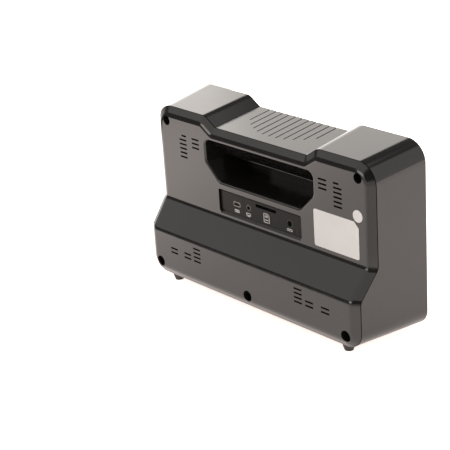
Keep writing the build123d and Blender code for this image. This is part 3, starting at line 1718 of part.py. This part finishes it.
def make_spindle_clip():
    """Retaining clip on the supply spindle's axle, in the arm's pocket."""
    with BuildPart() as clip:
        with BuildSketch(at_depth(arm_back - arm_gap + clip_play)):
            with Locations((arm_x, supply_z)):
                Circle(clip_radius)
                Circle(supply_axle, mode=Mode.SUBTRACT)
                Rectangle(clip_radius, supply_axle, align=(Align.MIN, Align.CENTER), mode=Mode.SUBTRACT)
        extrude(amount=clip_thickness - 2 * clip_play)
    return clip.part


def make_button(x):
    """Push button: cap through the panel, flange behind it and a stem to its switch."""
    flange_depth = panel_back + button_rest
    with BuildPart() as button:
        with BuildSketch(at_depth(flange_depth)):
            with Locations((x, button_z)):
                Circle(button_radius)
        extrude(amount=flange_depth - panel_face + button_stand)
        fillet(button.faces().sort_by(Axis.Y)[0].edges(), radius=button_stand / 3)
        with BuildSketch(at_depth(flange_depth)):
            with Locations((x, button_z)):
                Circle(button_radius + button_flange)
        extrude(amount=-button_flange_thickness)
        with BuildSketch(at_depth(flange_depth + button_flange_thickness)):
            with Locations((x, button_z)):
                Circle(button_stem)
        extrude(amount=-(button_stem_length - pilot_gap))
    return button.part


def make_button_board():
    """Board behind the buttons with one switch for each."""
    left = button_xs[-1] - button_board_margin
    right = button_xs[0] + button_board_margin
    with BuildPart() as board_part:
        with BuildSketch(at_depth(button_board_depth)):
            with Locations(((left + right) / 2, button_z)):
                Rectangle(right - left, button_board_height)
            with Locations(*button_board_holes()):
                Circle(small_shank + small_hole_gap, mode=Mode.SUBTRACT)
        extrude(amount=-board)
        with BuildSketch(at_depth(button_board_depth)):
            with Locations(*[(x, button_z) for x in button_xs]):
                Rectangle(switch_size, switch_size)
        extrude(amount=switch_height)
    return board_part.part


keep(make_housing(), "housing")
keep(make_rear_cover(), "rear_cover")
keep(make_front_panel(), "front_panel")
keep(make_feet(), "rubber_feet")
keep(make_cover_screws(), "cover_screws")
keep(make_blank_label(), "blank_label")
keep(make_round_label(), "round_label")
keep(make_port_board(), "port_board")
keep(make_usb_socket(), "usb_socket")
keep(make_av_jack(), "av_jack")
keep(make_dc_jack(), "dc_jack")
keep(make_card_socket(), "card_socket")
keep(make_main_board(), "main_board")
keep(make_board_screws(), "board_screws")
keep(make_panel_screws(), "panel_screws")
keep(make_motor_screws(), "motor_screws")
keep(make_hood(), "camera_hood")
keep(make_screen_window(), "screen_window")
keep(make_lcd(), "lcd_module")
keep(make_camera_board(), "camera_board")
keep(make_lens_barrel(), "lens_barrel")
keep(make_lens_glass(), "lens_glass")
keep(make_gate_base(), "gate_base")
keep(make_door_pin(), "door_pin")
keep(make_gate_door(), "gate_door")
keep(make_pressure_plate(), "pressure_plate")
keep(make_catch_plate(), "catch_plate")
keep(make_magnet(), "door_magnet")
keep(make_diffuser(), "light_diffuser")
keep(make_led_board(), "led_board")
keep(make_sprocket(), "drive_sprocket")
keep(make_sprocket_shaft(), "sprocket_shaft")
keep(make_stepper(), "stepper_motor")
keep(make_roller(left_roller_x), "left_roller")
keep(make_roller(right_roller_x), "right_roller")
keep(make_roller_posts(), "roller_posts")
keep(make_take_up_spindle(), "take_up_spindle")
keep(make_spindle_bush(), "spindle_bush")
keep(make_spindle_gear(), "spindle_gear")
keep(make_motor_pinion(), "motor_pinion")
keep(make_take_up_motor(), "take_up_motor")
keep(make_drive_bracket(), "drive_bracket")
keep(make_reel(), "take_up_reel")
keep(make_supply_arm(), "supply_arm")
keep(make_arm_pivot(), "arm_pivot")
keep(make_supply_spindle(), "supply_spindle")
keep(make_spindle_clip(), "spindle_clip")
keep(make_button_board(), "button_board")
for button_name, button_x in zip(button_names, button_xs):
    keep(make_button(button_x), button_name)
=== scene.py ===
import json
import math

import bpy
from mathutils import Matrix, Vector


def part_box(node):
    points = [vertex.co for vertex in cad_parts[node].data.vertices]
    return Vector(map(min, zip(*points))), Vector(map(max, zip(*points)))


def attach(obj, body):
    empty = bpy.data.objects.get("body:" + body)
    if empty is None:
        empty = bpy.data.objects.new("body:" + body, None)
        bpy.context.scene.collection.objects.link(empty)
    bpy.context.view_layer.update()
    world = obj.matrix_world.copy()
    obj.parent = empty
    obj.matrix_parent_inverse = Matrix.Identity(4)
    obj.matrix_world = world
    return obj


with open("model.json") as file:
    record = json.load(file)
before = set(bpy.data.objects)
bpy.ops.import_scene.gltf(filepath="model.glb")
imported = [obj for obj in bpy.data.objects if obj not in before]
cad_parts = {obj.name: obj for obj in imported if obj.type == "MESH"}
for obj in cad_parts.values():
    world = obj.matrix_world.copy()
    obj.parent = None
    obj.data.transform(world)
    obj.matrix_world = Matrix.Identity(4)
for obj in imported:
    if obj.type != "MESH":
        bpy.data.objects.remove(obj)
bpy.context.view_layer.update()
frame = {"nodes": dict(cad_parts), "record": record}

# Places in the row frame, in metres
CASING_BODY = "casing"
FRONT_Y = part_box("housing")[0][1]
RECESS_DEPTH = 0.002
RECESS_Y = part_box("blank_label")[0][1] - RECESS_DEPTH

# Ports: places in X and Z, with half sizes or radii of their openings in the pad
DATA_PLACE = (0.0304, 0.0892)
DATA_OPENING = (0.0044, 0.00225)
PICTURE_PLACE = (0.0158, 0.0895)
PICTURE_RADIUS = 0.00315
CARD_PLACE = (-0.006, 0.0945)
CARD_OPENING = (0.01245, 0.0014)
POWER_PLACE = (-0.0343, 0.0881)
POWER_RADIUS = 0.00375
OPENING_CORNER = 0.0003
SOCKET_RIM = 0.0004
SOCKET_DEPTH = 0.0085

# Pad and printed marks of the port recess
PAD_LOW = (-0.0495, 0.0799)
PAD_HIGH = (0.0503, 0.0978)
PAD_THICKNESS = 0.0001
PAD_CORNER = 0.0012
CORNER_STEPS = 4
CUTTER_REACH = 0.001
CUTTER_SIDES = 48
MARK_HEIGHT = 0.00004
MARK_LINE = 0.00034
MARK_LEVEL = 0.0832
CARD_MARK_PLACE = (-0.0065, 0.0859)

# Camera, fitted to the photograph's edges
CAMERA_PLACE = Vector((-0.8492, 0.8192 + FRONT_Y, 0.55205))
CAMERA_YAW = math.radians(49.55)
CAMERA_PITCH = math.radians(22.43)
CAMERA_ROLL = math.radians(-3.96)
CAMERA_LENS = 116.96
SENSOR = 36.0
FAR_CLIP = 20


def deselect():
    """Nothing selected, in object mode."""
    if bpy.context.object and bpy.context.object.mode != "OBJECT":
        bpy.ops.object.mode_set(mode="OBJECT")
    bpy.ops.object.select_all(action="DESELECT")


def select_only(piece):
    """One piece selected and active, in object mode."""
    deselect()
    piece.select_set(True)
    bpy.context.view_layer.objects.active = piece


def add_camera():
    """Camera at the photograph's place and angle."""
    forward = Vector((math.sin(CAMERA_YAW) * math.cos(CAMERA_PITCH),
                      -math.cos(CAMERA_YAW) * math.cos(CAMERA_PITCH), -math.sin(CAMERA_PITCH)))
    level = forward.cross(Vector((0, 0, 1))).normalized()
    upright = level.cross(forward)
    right = math.cos(CAMERA_ROLL) * level + math.sin(CAMERA_ROLL) * upright
    up = math.cos(CAMERA_ROLL) * upright - math.sin(CAMERA_ROLL) * level
    data = bpy.data.cameras.new("photo_camera")
    data.lens = CAMERA_LENS
    data.sensor_width = SENSOR
    data.clip_end = FAR_CLIP
    camera = bpy.data.objects.new("photo_camera", data)
    bpy.context.scene.collection.objects.link(camera)
    turn = Matrix((right, up, -forward)).transposed().to_4x4()
    camera.matrix_world = Matrix.Translation(CAMERA_PLACE) @ turn
    bpy.context.scene.camera = camera


# Patterns and masks in node trees. The numbers of a Mix node's sockets are for its kinds of value.

PATTERN_LOW = 0.3
PATTERN_HIGH = 0.7
MIX_FACTOR = 0
MIX_NUMBERS = (2, 3)
MIX_NUMBER_RESULT = 0
MIX_COLOURS = (6, 7)
MIX_COLOUR_RESULT = 2


def new_material(name):
    """New material with its node tree, its Principled shader and object coordinates."""
    material = bpy.data.materials.new(name)
    material.use_nodes = True
    tree = material.node_tree
    shader = tree.nodes["Principled BSDF"]
    coordinates = tree.nodes.new("ShaderNodeTexCoord")
    return material, tree, shader, coordinates.outputs["Object"]


def set_input(tree, target, value):
    """A number or another node's output put into an input."""
    if isinstance(value, (int, float)):
        target.default_value = value
    else:
        tree.links.new(value, target)


def axes(tree, place):
    """Outputs X, Y and Z of a place or direction."""
    parts = tree.nodes.new("ShaderNodeSeparateXYZ")
    tree.links.new(place, parts.inputs["Vector"])
    return parts.outputs


def noise(tree, place, scale, detail=3.0, stretch=None):
    """Noise pattern on the piece's own coordinates, stretched if asked."""
    if stretch:
        mapping = tree.nodes.new("ShaderNodeMapping")
        mapping.inputs["Scale"].default_value = stretch
        tree.links.new(place, mapping.inputs["Vector"])
        place = mapping.outputs["Vector"]
    texture = tree.nodes.new("ShaderNodeTexNoise")
    texture.inputs["Scale"].default_value = scale
    texture.inputs["Detail"].default_value = detail
    tree.links.new(place, texture.inputs["Vector"])
    return texture.outputs["Fac"]


def spread(tree, pattern, low, high):
    """A pattern spread over a range of values."""
    ranged = tree.nodes.new("ShaderNodeMapRange")
    ranged.inputs["From Min"].default_value = PATTERN_LOW
    ranged.inputs["From Max"].default_value = PATTERN_HIGH
    ranged.inputs["To Min"].default_value = low
    ranged.inputs["To Max"].default_value = high
    tree.links.new(pattern, ranged.inputs["Value"])
    return ranged.outputs["Result"]


def tint(tree, pattern, dark, light):
    """A pattern turned into a colour between two."""
    colours = tree.nodes.new("ShaderNodeValToRGB")
    first, last = colours.color_ramp.elements
    first.position = PATTERN_LOW
    first.color = (*dark, 1)
    last.position = PATTERN_HIGH
    last.color = (*light, 1)
    tree.links.new(pattern, colours.inputs["Fac"])
    return colours.outputs["Color"]


def relief(tree, shader, pattern, height):
    """Fine relief from a pattern."""
    bump = tree.nodes.new("ShaderNodeBump")
    bump.inputs["Distance"].default_value = height
    bump.inputs["Strength"].default_value = 1.0
    tree.links.new(pattern, bump.inputs["Height"])
    tree.links.new(bump.outputs["Normal"], shader.inputs["Normal"])


def formula(tree, operation, *values):
    """One step of arithmetic on numbers or outputs."""
    step = tree.nodes.new("ShaderNodeMath")
    step.operation = operation
    for target, value in zip(step.inputs, values):
        set_input(tree, target, value)
    return step.outputs["Value"]


def ramp(tree, value, start, end, low=0.0, high=1.0):
    """Smooth change from low to high while a value goes from start to end."""
    ranged = tree.nodes.new("ShaderNodeMapRange")
    ranged.interpolation_type = "SMOOTHSTEP"
    ranged.inputs["From Min"].default_value = start
    ranged.inputs["From Max"].default_value = end
    ranged.inputs["To Min"].default_value = low
    ranged.inputs["To Max"].default_value = high
    tree.links.new(value, ranged.inputs["Value"])
    return ranged.outputs["Result"]


def between(tree, value, low, high, edge):
    """Mask that is 1 between two values, with soft edges."""
    rise = ramp(tree, value, low - edge, low + edge)
    fall = ramp(tree, value, high - edge, high + edge, 1.0, 0.0)
    return formula(tree, "MULTIPLY", rise, fall)


def pick(tree, mask, below, above):
    """The second value where the mask is 1, the first where it is 0."""
    mix = tree.nodes.new("ShaderNodeMix")
    mix.data_type = "FLOAT"
    tree.links.new(mask, mix.inputs[MIX_FACTOR])
    for number, value in zip(MIX_NUMBERS, (below, above)):
        set_input(tree, mix.inputs[number], value)
    return mix.outputs[MIX_NUMBER_RESULT]


# Materials. A gloss is the lowest and highest roughness, a grain the scale and height of the relief. Drifts,
# smears and grains are scales of noise.

PLASTIC_DRIFT = 18
PLASTIC_SMEARS = 70
PLASTIC_SMEAR_DETAIL = 5
PLASTIC_GRAIN_DETAIL = 2
METAL_DRIFT = 60
METAL_GRAIN = 900
METAL_DETAIL = 4
METAL_RELIEF = 0.00001
GLASS_SMEARS = 40
GLASS_DETAIL = 4
GLASS_IOR = 1.5
TIN_GRAIN = 700
TIN_STRETCH = (1, 6, 1)
TIN_DARK = (0.2, 0.185, 0.17)
TIN_LIGHT = (0.32, 0.3, 0.28)
TIN_GLOSS = (0.2, 0.35)
# Painted shade deep in the socket shells: its near-black colour, its roughness and the softness of its edge
SOCKET_SHADE = (0.006, 0.006, 0.006, 1)
SOCKET_SHADE_ROUGHNESS = 0.75
SOCKET_SHADE_EDGE = 0.0001


def moulded(name, dark, light, gloss, grain, ior=1.5, level=0.5):
    """Moulded plastic: slight colour drift, uneven gloss and a fine surface grain."""
    material, tree, shader, place = new_material(name)
    scale, height = grain
    tree.links.new(tint(tree, noise(tree, place, PLASTIC_DRIFT), dark, light), shader.inputs["Base Color"])
    smears = noise(tree, place, PLASTIC_SMEARS, PLASTIC_SMEAR_DETAIL)
    tree.links.new(spread(tree, smears, *gloss), shader.inputs["Roughness"])
    shader.inputs["IOR"].default_value = ior
    shader.inputs["Specular IOR Level"].default_value = level
    relief(tree, shader, noise(tree, place, scale, PLASTIC_GRAIN_DETAIL), height)
    return material


def metal(name, dark, light, gloss, stretch=(1, 1, 1)):
    """Metal with a brushed or turned grain along one way."""
    material, tree, shader, place = new_material(name)
    shader.inputs["Metallic"].default_value = 1.0
    tree.links.new(tint(tree, noise(tree, place, METAL_DRIFT), dark, light), shader.inputs["Base Color"])
    grain = noise(tree, place, METAL_GRAIN, METAL_DETAIL, stretch)
    tree.links.new(spread(tree, grain, *gloss), shader.inputs["Roughness"])
    relief(tree, shader, grain, METAL_RELIEF)
    return material


def clear(name, color, gloss, alpha):
    """Clear window material with faint smears."""
    material, tree, shader, place = new_material(name)
    shader.inputs["Base Color"].default_value = (*color, 1)
    smears = noise(tree, place, GLASS_SMEARS, GLASS_DETAIL)
    tree.links.new(spread(tree, smears, *gloss), shader.inputs["Roughness"])
    shader.inputs["Alpha"].default_value = alpha
    shader.inputs["IOR"].default_value = GLASS_IOR
    return material


def tinned_shell(name):
    """Tinned socket shell: bright tin at its rim, and painted shade from there down to the tongue inside, a
    near-black matt colour.
    """
    material, tree, shader, place = new_material(name)
    # Mask of the painted shade: 1 from just under the rim down to the tongue, where the shell is no longer
    # metal
    painted_shade_mask = between(tree, axes(tree, place)["Y"], RECESS_Y - SOCKET_DEPTH, RECESS_Y - SOCKET_RIM,
                   SOCKET_SHADE_EDGE)
    grain = noise(tree, place, TIN_GRAIN, METAL_DETAIL, TIN_STRETCH)
    mix = tree.nodes.new("ShaderNodeMix")
    mix.data_type = "RGBA"
    bright, shaded = (mix.inputs[number] for number in MIX_COLOURS)
    tree.links.new(painted_shade_mask, mix.inputs[MIX_FACTOR])
    tree.links.new(tint(tree, grain, TIN_DARK, TIN_LIGHT), bright)
    shaded.default_value = SOCKET_SHADE
    tree.links.new(mix.outputs[MIX_COLOUR_RESULT], shader.inputs["Base Color"])
    tree.links.new(formula(tree, "SUBTRACT", 1.0, painted_shade_mask), shader.inputs["Metallic"])
    roughness = pick(tree, painted_shade_mask, spread(tree, grain, *TIN_GLOSS), SOCKET_SHADE_ROUGHNESS)
    tree.links.new(roughness, shader.inputs["Roughness"])
    relief(tree, shader, grain, METAL_RELIEF)
    return material


MATERIALS = {
    "casing_black": moulded("casing_black", dark=(0.0065, 0.006, 0.0058), light=(0.009, 0.0085, 0.008),
                            gloss=(0.09, 0.14), grain=(420, 0.000006), ior=1.52),
    "recess_pad": moulded("recess_pad", dark=(0.007, 0.0068, 0.0066), light=(0.01, 0.0096, 0.0093),
                          gloss=(0.2, 0.3), grain=(1800, 0.00002), level=0.08),
    "mark_white": moulded("mark_white", dark=(0.78, 0.77, 0.75), light=(0.9, 0.89, 0.87),
                          gloss=(0.45, 0.6), grain=(1500, 0.000005)),
    "panel_black": moulded("panel_black", dark=(0.016, 0.016, 0.016), light=(0.026, 0.026, 0.026),
                           gloss=(0.42, 0.55), grain=(1400, 0.00005)),
    "foot_rubber": moulded("foot_rubber", dark=(0.018, 0.018, 0.018), light=(0.032, 0.031, 0.03),
                           gloss=(0.6, 0.8), grain=(900, 0.00006), ior=1.45),
    "screw_steel": metal("screw_steel", dark=(0.16, 0.16, 0.165), light=(0.3, 0.3, 0.31),
                         gloss=(0.28, 0.45)),
    "label_white": moulded("label_white", dark=(0.47, 0.465, 0.46), light=(0.52, 0.515, 0.51),
                           gloss=(0.38, 0.5), grain=(700, 0.00001)),
    "board_green": moulded("board_green", dark=(0.008, 0.07, 0.028), light=(0.012, 0.11, 0.045),
                           gloss=(0.25, 0.4), grain=(500, 0.00002)),
    "socket_metal": tinned_shell("socket_metal"),
    "jack_black": moulded("jack_black", dark=(0.01, 0.01, 0.01), light=(0.02, 0.02, 0.02),
                          gloss=(0.3, 0.45), grain=(800, 0.00003)),
    "screen_glass": clear("screen_glass", color=(0.02, 0.022, 0.025), gloss=(0.03, 0.09), alpha=0.35),
    "lcd_dark": moulded("lcd_dark", dark=(0.006, 0.007, 0.009), light=(0.01, 0.012, 0.015),
                        gloss=(0.1, 0.16), grain=(2000, 0.000004)),
    "lens_glass": clear("lens_glass", color=(0.35, 0.3, 0.55), gloss=(0.02, 0.06), alpha=0.5),
    "pin_steel": metal("pin_steel", dark=(0.5, 0.5, 0.52), light=(0.68, 0.68, 0.7),
                       gloss=(0.18, 0.32), stretch=(1, 12, 1)),
    "plate_steel": metal("plate_steel", dark=(0.45, 0.45, 0.46), light=(0.62, 0.62, 0.63),
                         gloss=(0.25, 0.42), stretch=(12, 1, 1)),
    "magnet_metal": metal("magnet_metal", dark=(0.55, 0.55, 0.55), light=(0.7, 0.7, 0.7),
                          gloss=(0.1, 0.2)),
    "diffuser_white": moulded("diffuser_white", dark=(0.8, 0.8, 0.78), light=(0.9, 0.9, 0.88),
                              gloss=(0.45, 0.6), grain=(900, 0.00002)),
    "nylon_white": moulded("nylon_white", dark=(0.62, 0.61, 0.56), light=(0.74, 0.73, 0.68),
                           gloss=(0.4, 0.55), grain=(600, 0.00003)),
    "motor_steel": metal("motor_steel", dark=(0.4, 0.4, 0.41), light=(0.55, 0.55, 0.56),
                         gloss=(0.25, 0.38), stretch=(1, 14, 1)),
    "roller_black": moulded("roller_black", dark=(0.016, 0.016, 0.016), light=(0.028, 0.028, 0.028),
                            gloss=(0.25, 0.4), grain=(900, 0.00003)),
    "spindle_black": moulded("spindle_black", dark=(0.015, 0.015, 0.015), light=(0.026, 0.026, 0.026),
                             gloss=(0.3, 0.42), grain=(1100, 0.00004)),
    "bush_brass": metal("bush_brass", dark=(0.55, 0.38, 0.13), light=(0.72, 0.52, 0.2),
                        gloss=(0.2, 0.35), stretch=(1, 10, 1)),
    "reel_black": moulded("reel_black", dark=(0.012, 0.012, 0.012), light=(0.018, 0.018, 0.018),
                          gloss=(0.12, 0.2), grain=(500, 0.00001), ior=1.52),
    "button_grey": moulded("button_grey", dark=(0.045, 0.045, 0.048), light=(0.062, 0.062, 0.065),
                           gloss=(0.4, 0.5), grain=(1200, 0.00004)),
}


def dress_frame():
    """Every CAD node gets the material of its record slot."""
    for entry in frame["record"]["subparts"]:
        node = frame["nodes"][entry["node"]]
        node.data.materials.clear()
        node.data.materials.append(MATERIALS[entry["material_slot"]])


# Pad of the port recess

def finish_piece(piece, name, material):
    """Name a made piece, put its place into its mesh, dress it and let it ride on the casing."""
    select_only(piece)
    bpy.ops.object.transform_apply(location=True, rotation=True, scale=True)
    piece.name = name
    piece.data.materials.clear()
    piece.data.materials.append(MATERIALS[material])
    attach(piece, CASING_BODY)


def add_block(low, high, near, far):
    """Upright block between two corners in X and Z, from one Y to another."""
    deselect()
    middle = ((low[0] + high[0]) / 2, (near + far) / 2, (low[1] + high[1]) / 2)
    bpy.ops.mesh.primitive_cube_add(size=1, location=middle)
    block = bpy.context.object
    block.scale = (high[0] - low[0], far - near, high[1] - low[1])
    bpy.ops.object.transform_apply(location=False, rotation=False, scale=True)
    return block


def round_upright_corners(block, radius):
    """Bevel the four edges of a block that run along Y."""
    bpy.ops.object.mode_set(mode="EDIT")
    bpy.ops.mesh.select_mode(type="EDGE")
    bpy.ops.mesh.select_all(action="DESELECT")
    bpy.ops.object.mode_set(mode="OBJECT")
    for edge in block.data.edges:
        first, second = (block.data.vertices[i].co for i in edge.vertices)
        edge.select = abs(first.y - second.y) > abs(first.x - second.x) + abs(first.z - second.z)
    bpy.ops.object.mode_set(mode="EDIT")
    bpy.ops.mesh.bevel(offset=radius, segments=CORNER_STEPS, affect="EDGES")
    bpy.ops.object.mode_set(mode="OBJECT")


def cut_from(piece, cutter):
    """Take a cutter out of a piece and throw the cutter away."""
    select_only(piece)
    cut = piece.modifiers.new("cut", "BOOLEAN")
    cut.operation = "DIFFERENCE"
    cut.solver = "EXACT"
    cut.object = cutter
    bpy.ops.object.modifier_apply(modifier="cut")
    bpy.data.objects.remove(cutter)


def add_recess_pad():
    """Thin matt pad on the floor of the port recess, with the ports' openings."""
    near = RECESS_Y
    far = RECESS_Y + PAD_THICKNESS
    pad = add_block(PAD_LOW, PAD_HIGH, near, far)
    round_upright_corners(pad, PAD_CORNER)
    for (x, z), (half_width, half_height) in ((DATA_PLACE, DATA_OPENING), (CARD_PLACE, CARD_OPENING)):
        hole = add_block((x - half_width, z - half_height), (x + half_width, z + half_height),
                         near - CUTTER_REACH, far + CUTTER_REACH)
        round_upright_corners(hole, OPENING_CORNER)
        cut_from(pad, hole)
    for (x, z), radius in ((PICTURE_PLACE, PICTURE_RADIUS), (POWER_PLACE, POWER_RADIUS)):
        deselect()
        bpy.ops.mesh.primitive_cylinder_add(vertices=CUTTER_SIDES, radius=radius, depth=4 * CUTTER_REACH,
                                            location=(x, near, z), rotation=(math.pi / 2, 0, 0))
        cut_from(pad, bpy.context.object)
    finish_piece(pad, "recess_pad", "recess_pad")


# Printed marks below the ports, made of straight strokes in X and Z

def add_strokes(name, strokes):
    """White printed mark made of strokes, each from one point to another."""
    surface = RECESS_Y + PAD_THICKNESS
    parts = []
    for start, end in strokes:
        turn = math.atan2(end[1] - start[1], end[0] - start[0])
        middle = ((start[0] + end[0]) / 2, surface + MARK_HEIGHT / 2, (start[1] + end[1]) / 2)
        deselect()
        bpy.ops.mesh.primitive_cube_add(size=1, location=middle, rotation=(0, -turn, 0))
        stroke = bpy.context.object
        stroke.scale = (math.dist(start, end) + MARK_LINE, MARK_HEIGHT, MARK_LINE)
        bpy.ops.object.transform_apply(location=True, rotation=True, scale=True)
        parts.append(stroke)
    select_only(parts[0])
    for stroke in parts:
        stroke.select_set(True)
    bpy.ops.object.join()
    finish_piece(parts[0], name, "mark_white")


def outline(points):
    """Closed run of strokes through some points."""
    return list(zip(points, points[1:] + points[:1]))


def rectangle(x, half_width, low, high):
    """Closed rectangle of strokes around an X, from one Z to another."""
    return outline([(x - half_width, low), (x + half_width, low), (x + half_width, high),
                    (x - half_width, high)])


def dash(x, z, half_length):
    """One level stroke around a point."""
    return (x - half_length, z), (x + half_length, z)


def add_plug_mark():
    """Flat plug seen from its end, below the data port."""
    half_width = 0.0027
    half_height = 0.0009
    half_tongue = 0.0012
    x = DATA_PLACE[0]
    add_strokes("plug_mark", rectangle(x, half_width, MARK_LEVEL - half_height, MARK_LEVEL + half_height)
                + [dash(x, MARK_LEVEL, half_tongue)])


def add_screen_mark():
    """Screen on its foot, below the picture output."""
    half_width = 0.0026
    below = 0.0005
    above = 0.0014
    half_foot = 0.0014
    foot_drop = 0.0014
    x = PICTURE_PLACE[0]
    add_strokes("screen_mark", rectangle(x, half_width, MARK_LEVEL - below, MARK_LEVEL + above)
                + [dash(x, MARK_LEVEL - foot_drop, half_foot)])


def add_card_mark():
    """Card with a cut corner, three contacts and a line, below the card slot."""
    half_width = 0.0032
    half_height = 0.0039
    cut = 0.0014
    contact_spacing = 0.0013
    contact_low = 0.0008
    contact_high = 0.0024
    half_line = 0.0018
    line_drop = 0.0016
    x, z = CARD_MARK_PLACE
    low = z - half_height
    high = z + half_height
    card = outline([(x + half_width, low), (x - half_width, low), (x - half_width, high - cut),
                    (x - half_width + cut, high), (x + half_width, high)])
    contacts = [((x + i * contact_spacing, z + contact_low), (x + i * contact_spacing, z + contact_high))
                for i in (-1, 0, 1)]
    add_strokes("card_mark", card + contacts + [dash(x, z - line_drop, half_line)])


def add_current_mark():
    """Direct current, a line over three dashes, below the power inlet."""
    drop = 0.0005
    half_gap = 0.0007
    half_line = 0.003
    dash_spacing = 0.0023
    half_dash = 0.0006
    x = POWER_PLACE[0]
    z = MARK_LEVEL - drop
    add_strokes("current_mark", [dash(x, z + half_gap, half_line)]
                + [dash(x + i * dash_spacing, z - half_gap, half_dash) for i in (-1, 0, 1)])


# Table. Its glow, painted light, is ramps over X and Y: start and end of the change, then low and high
# value.

TABLE_LOW = -3.0
TABLE_HIGH = 0.5
TABLE_DRIFT = 1.5
TABLE_DARK = (0.86, 0.855, 0.85)
TABLE_LIGHT = (0.88, 0.875, 0.87)
TABLE_ROUGHNESS = 0.7
GLOW_COLOR = (1.0, 0.87, 0.82, 1)
MIDDLE_GLOW = 0.95
PLUS_X_GLOW = (0.08, 0.36, 0.0, 1.1)
MINUS_X_GLOW = (-0.05, -0.35, 0.0, 0.35)
DIM_CORNER_X = (0.02, -0.15)
DIM_CORNER_Y = (0.14, 0.24, 0.0, -0.75)


def add_floor():
    """Plain white table under the object, glowing with painted light that is brighter towards both sides in
    X and dimmer in one corner, so that shadows hardly show.
    """
    deselect()
    middle = (TABLE_LOW + TABLE_HIGH) / 2
    bpy.ops.mesh.primitive_plane_add(size=TABLE_HIGH - TABLE_LOW, location=(middle, middle, 0))
    bpy.ops.object.transform_apply(location=True, rotation=True, scale=True)
    floor = bpy.context.object
    floor.name = "studio_floor"
    material, tree, shader, place = new_material("studio_floor")
    tree.links.new(tint(tree, noise(tree, place, TABLE_DRIFT), TABLE_DARK, TABLE_LIGHT),
                   shader.inputs["Base Color"])
    shader.inputs["Roughness"].default_value = TABLE_ROUGHNESS
    # Painted light: the table's own glow, a middle level plus more towards both sides in X and less in one
    # corner
    across = axes(tree, place)
    sides = formula(tree, "ADD", ramp(tree, across["X"], *PLUS_X_GLOW),
                    ramp(tree, across["X"], *MINUS_X_GLOW))
    dim_corner = formula(tree, "MULTIPLY", ramp(tree, across["X"], *DIM_CORNER_X),
                         ramp(tree, across["Y"], *DIM_CORNER_Y))
    glow = formula(tree, "ADD", sides, formula(tree, "ADD", dim_corner, MIDDLE_GLOW))
    shader.inputs["Emission Color"].default_value = GLOW_COLOR
    tree.links.new(glow, shader.inputs["Emission Strength"])
    floor.data.materials.append(material)


# Room. An area holds its azimuths from +X towards +Y, its heights above the horizon and the softness of its
# sides and of its top and bottom, all in degrees. BELOW is under every direction.

BELOW = -95
GREY_ROOM = 1.12
BACKDROP = ((-80, -10), (BELOW, 37), (8, 1))
BACKDROP_LIGHT = (-38, -36, 2.6, 3.7)
GAP = ((-124, -10), (36, 61.5), (6, 2))
GAP_LIGHT = 0.22
DARK_WALL = ((14, 66), (BELOW, 19), (8, 3))
DARK_WALL_LIGHT = 0.16
STRIP = ((58, 82), (2, 18), (3, 3))
STRIP_LIGHT = 4.6
DARK_DOOR = ((84, 114), (-2, 36), (4, 4))
DARK_DOOR_LIGHT = 0.06
DARK_CEILING = ((118, 168), (42, 66), (8, 6))
DARK_CEILING_LIGHT = 0.3
SEEN_WHITE = 1.25
ROOM_COLOR = (1.0, 0.95, 0.9, 1)
OVERHEAD_PLACE = Vector((0.2, 0.3, 1.9))
OVERHEAD_SIZE = 1.6
OVERHEAD_POWER = 6


def patch(tree, azimuth, height, light, area, brightness):
    """The room's light with another brightness in one area."""
    azimuths, heights, (side_edge, height_edge) = area
    mask = formula(tree, "MULTIPLY", between(tree, azimuth, *azimuths, side_edge),
                   between(tree, height, *heights, height_edge))
    return pick(tree, mask, light, brightness)


def add_world():
    """Grey room with a bright backdrop, a strip light and dark areas, and white where the camera sees it."""
    world = bpy.data.worlds.new("studio")
    world.use_nodes = True
    tree = world.node_tree
    background = tree.nodes["Background"]
    way = axes(tree, tree.nodes.new("ShaderNodeTexCoord").outputs["Generated"])
    azimuth = formula(tree, "DEGREES", formula(tree, "ARCTAN2", way["Y"], way["X"]))
    height = formula(tree, "DEGREES", formula(tree, "ARCSINE", way["Z"]))
    light = GREY_ROOM
    for area, brightness in ((BACKDROP, ramp(tree, azimuth, *BACKDROP_LIGHT)), (GAP, GAP_LIGHT),
                             (DARK_WALL, DARK_WALL_LIGHT), (STRIP, STRIP_LIGHT),
                             (DARK_DOOR, DARK_DOOR_LIGHT), (DARK_CEILING, DARK_CEILING_LIGHT)):
        light = patch(tree, azimuth, height, light, area, brightness)
    seen = tree.nodes.new("ShaderNodeLightPath").outputs["Is Camera Ray"]
    light = pick(tree, seen, light, SEEN_WHITE)
    background.inputs["Color"].default_value = ROOM_COLOR
    tree.links.new(light, background.inputs["Strength"])
    bpy.context.scene.world = world


def add_overhead_light():
    """Large soft light above the table, facing its middle."""
    data = bpy.data.lights.new("overhead", "AREA")
    data.shape = "RECTANGLE"
    data.size = OVERHEAD_SIZE
    data.size_y = OVERHEAD_SIZE
    data.energy = OVERHEAD_POWER
    light = bpy.data.objects.new("overhead", data)
    bpy.context.scene.collection.objects.link(light)
    turn = (-OVERHEAD_PLACE).to_track_quat("-Z", "Y").to_matrix().to_4x4()
    light.matrix_world = Matrix.Translation(OVERHEAD_PLACE) @ turn


add_camera()
dress_frame()
add_recess_pad()
add_plug_mark()
add_screen_mark()
add_card_mark()
add_current_mark()
add_floor()
add_world()
add_overhead_light()
bpy.context.scene.view_settings.view_transform = "Standard"
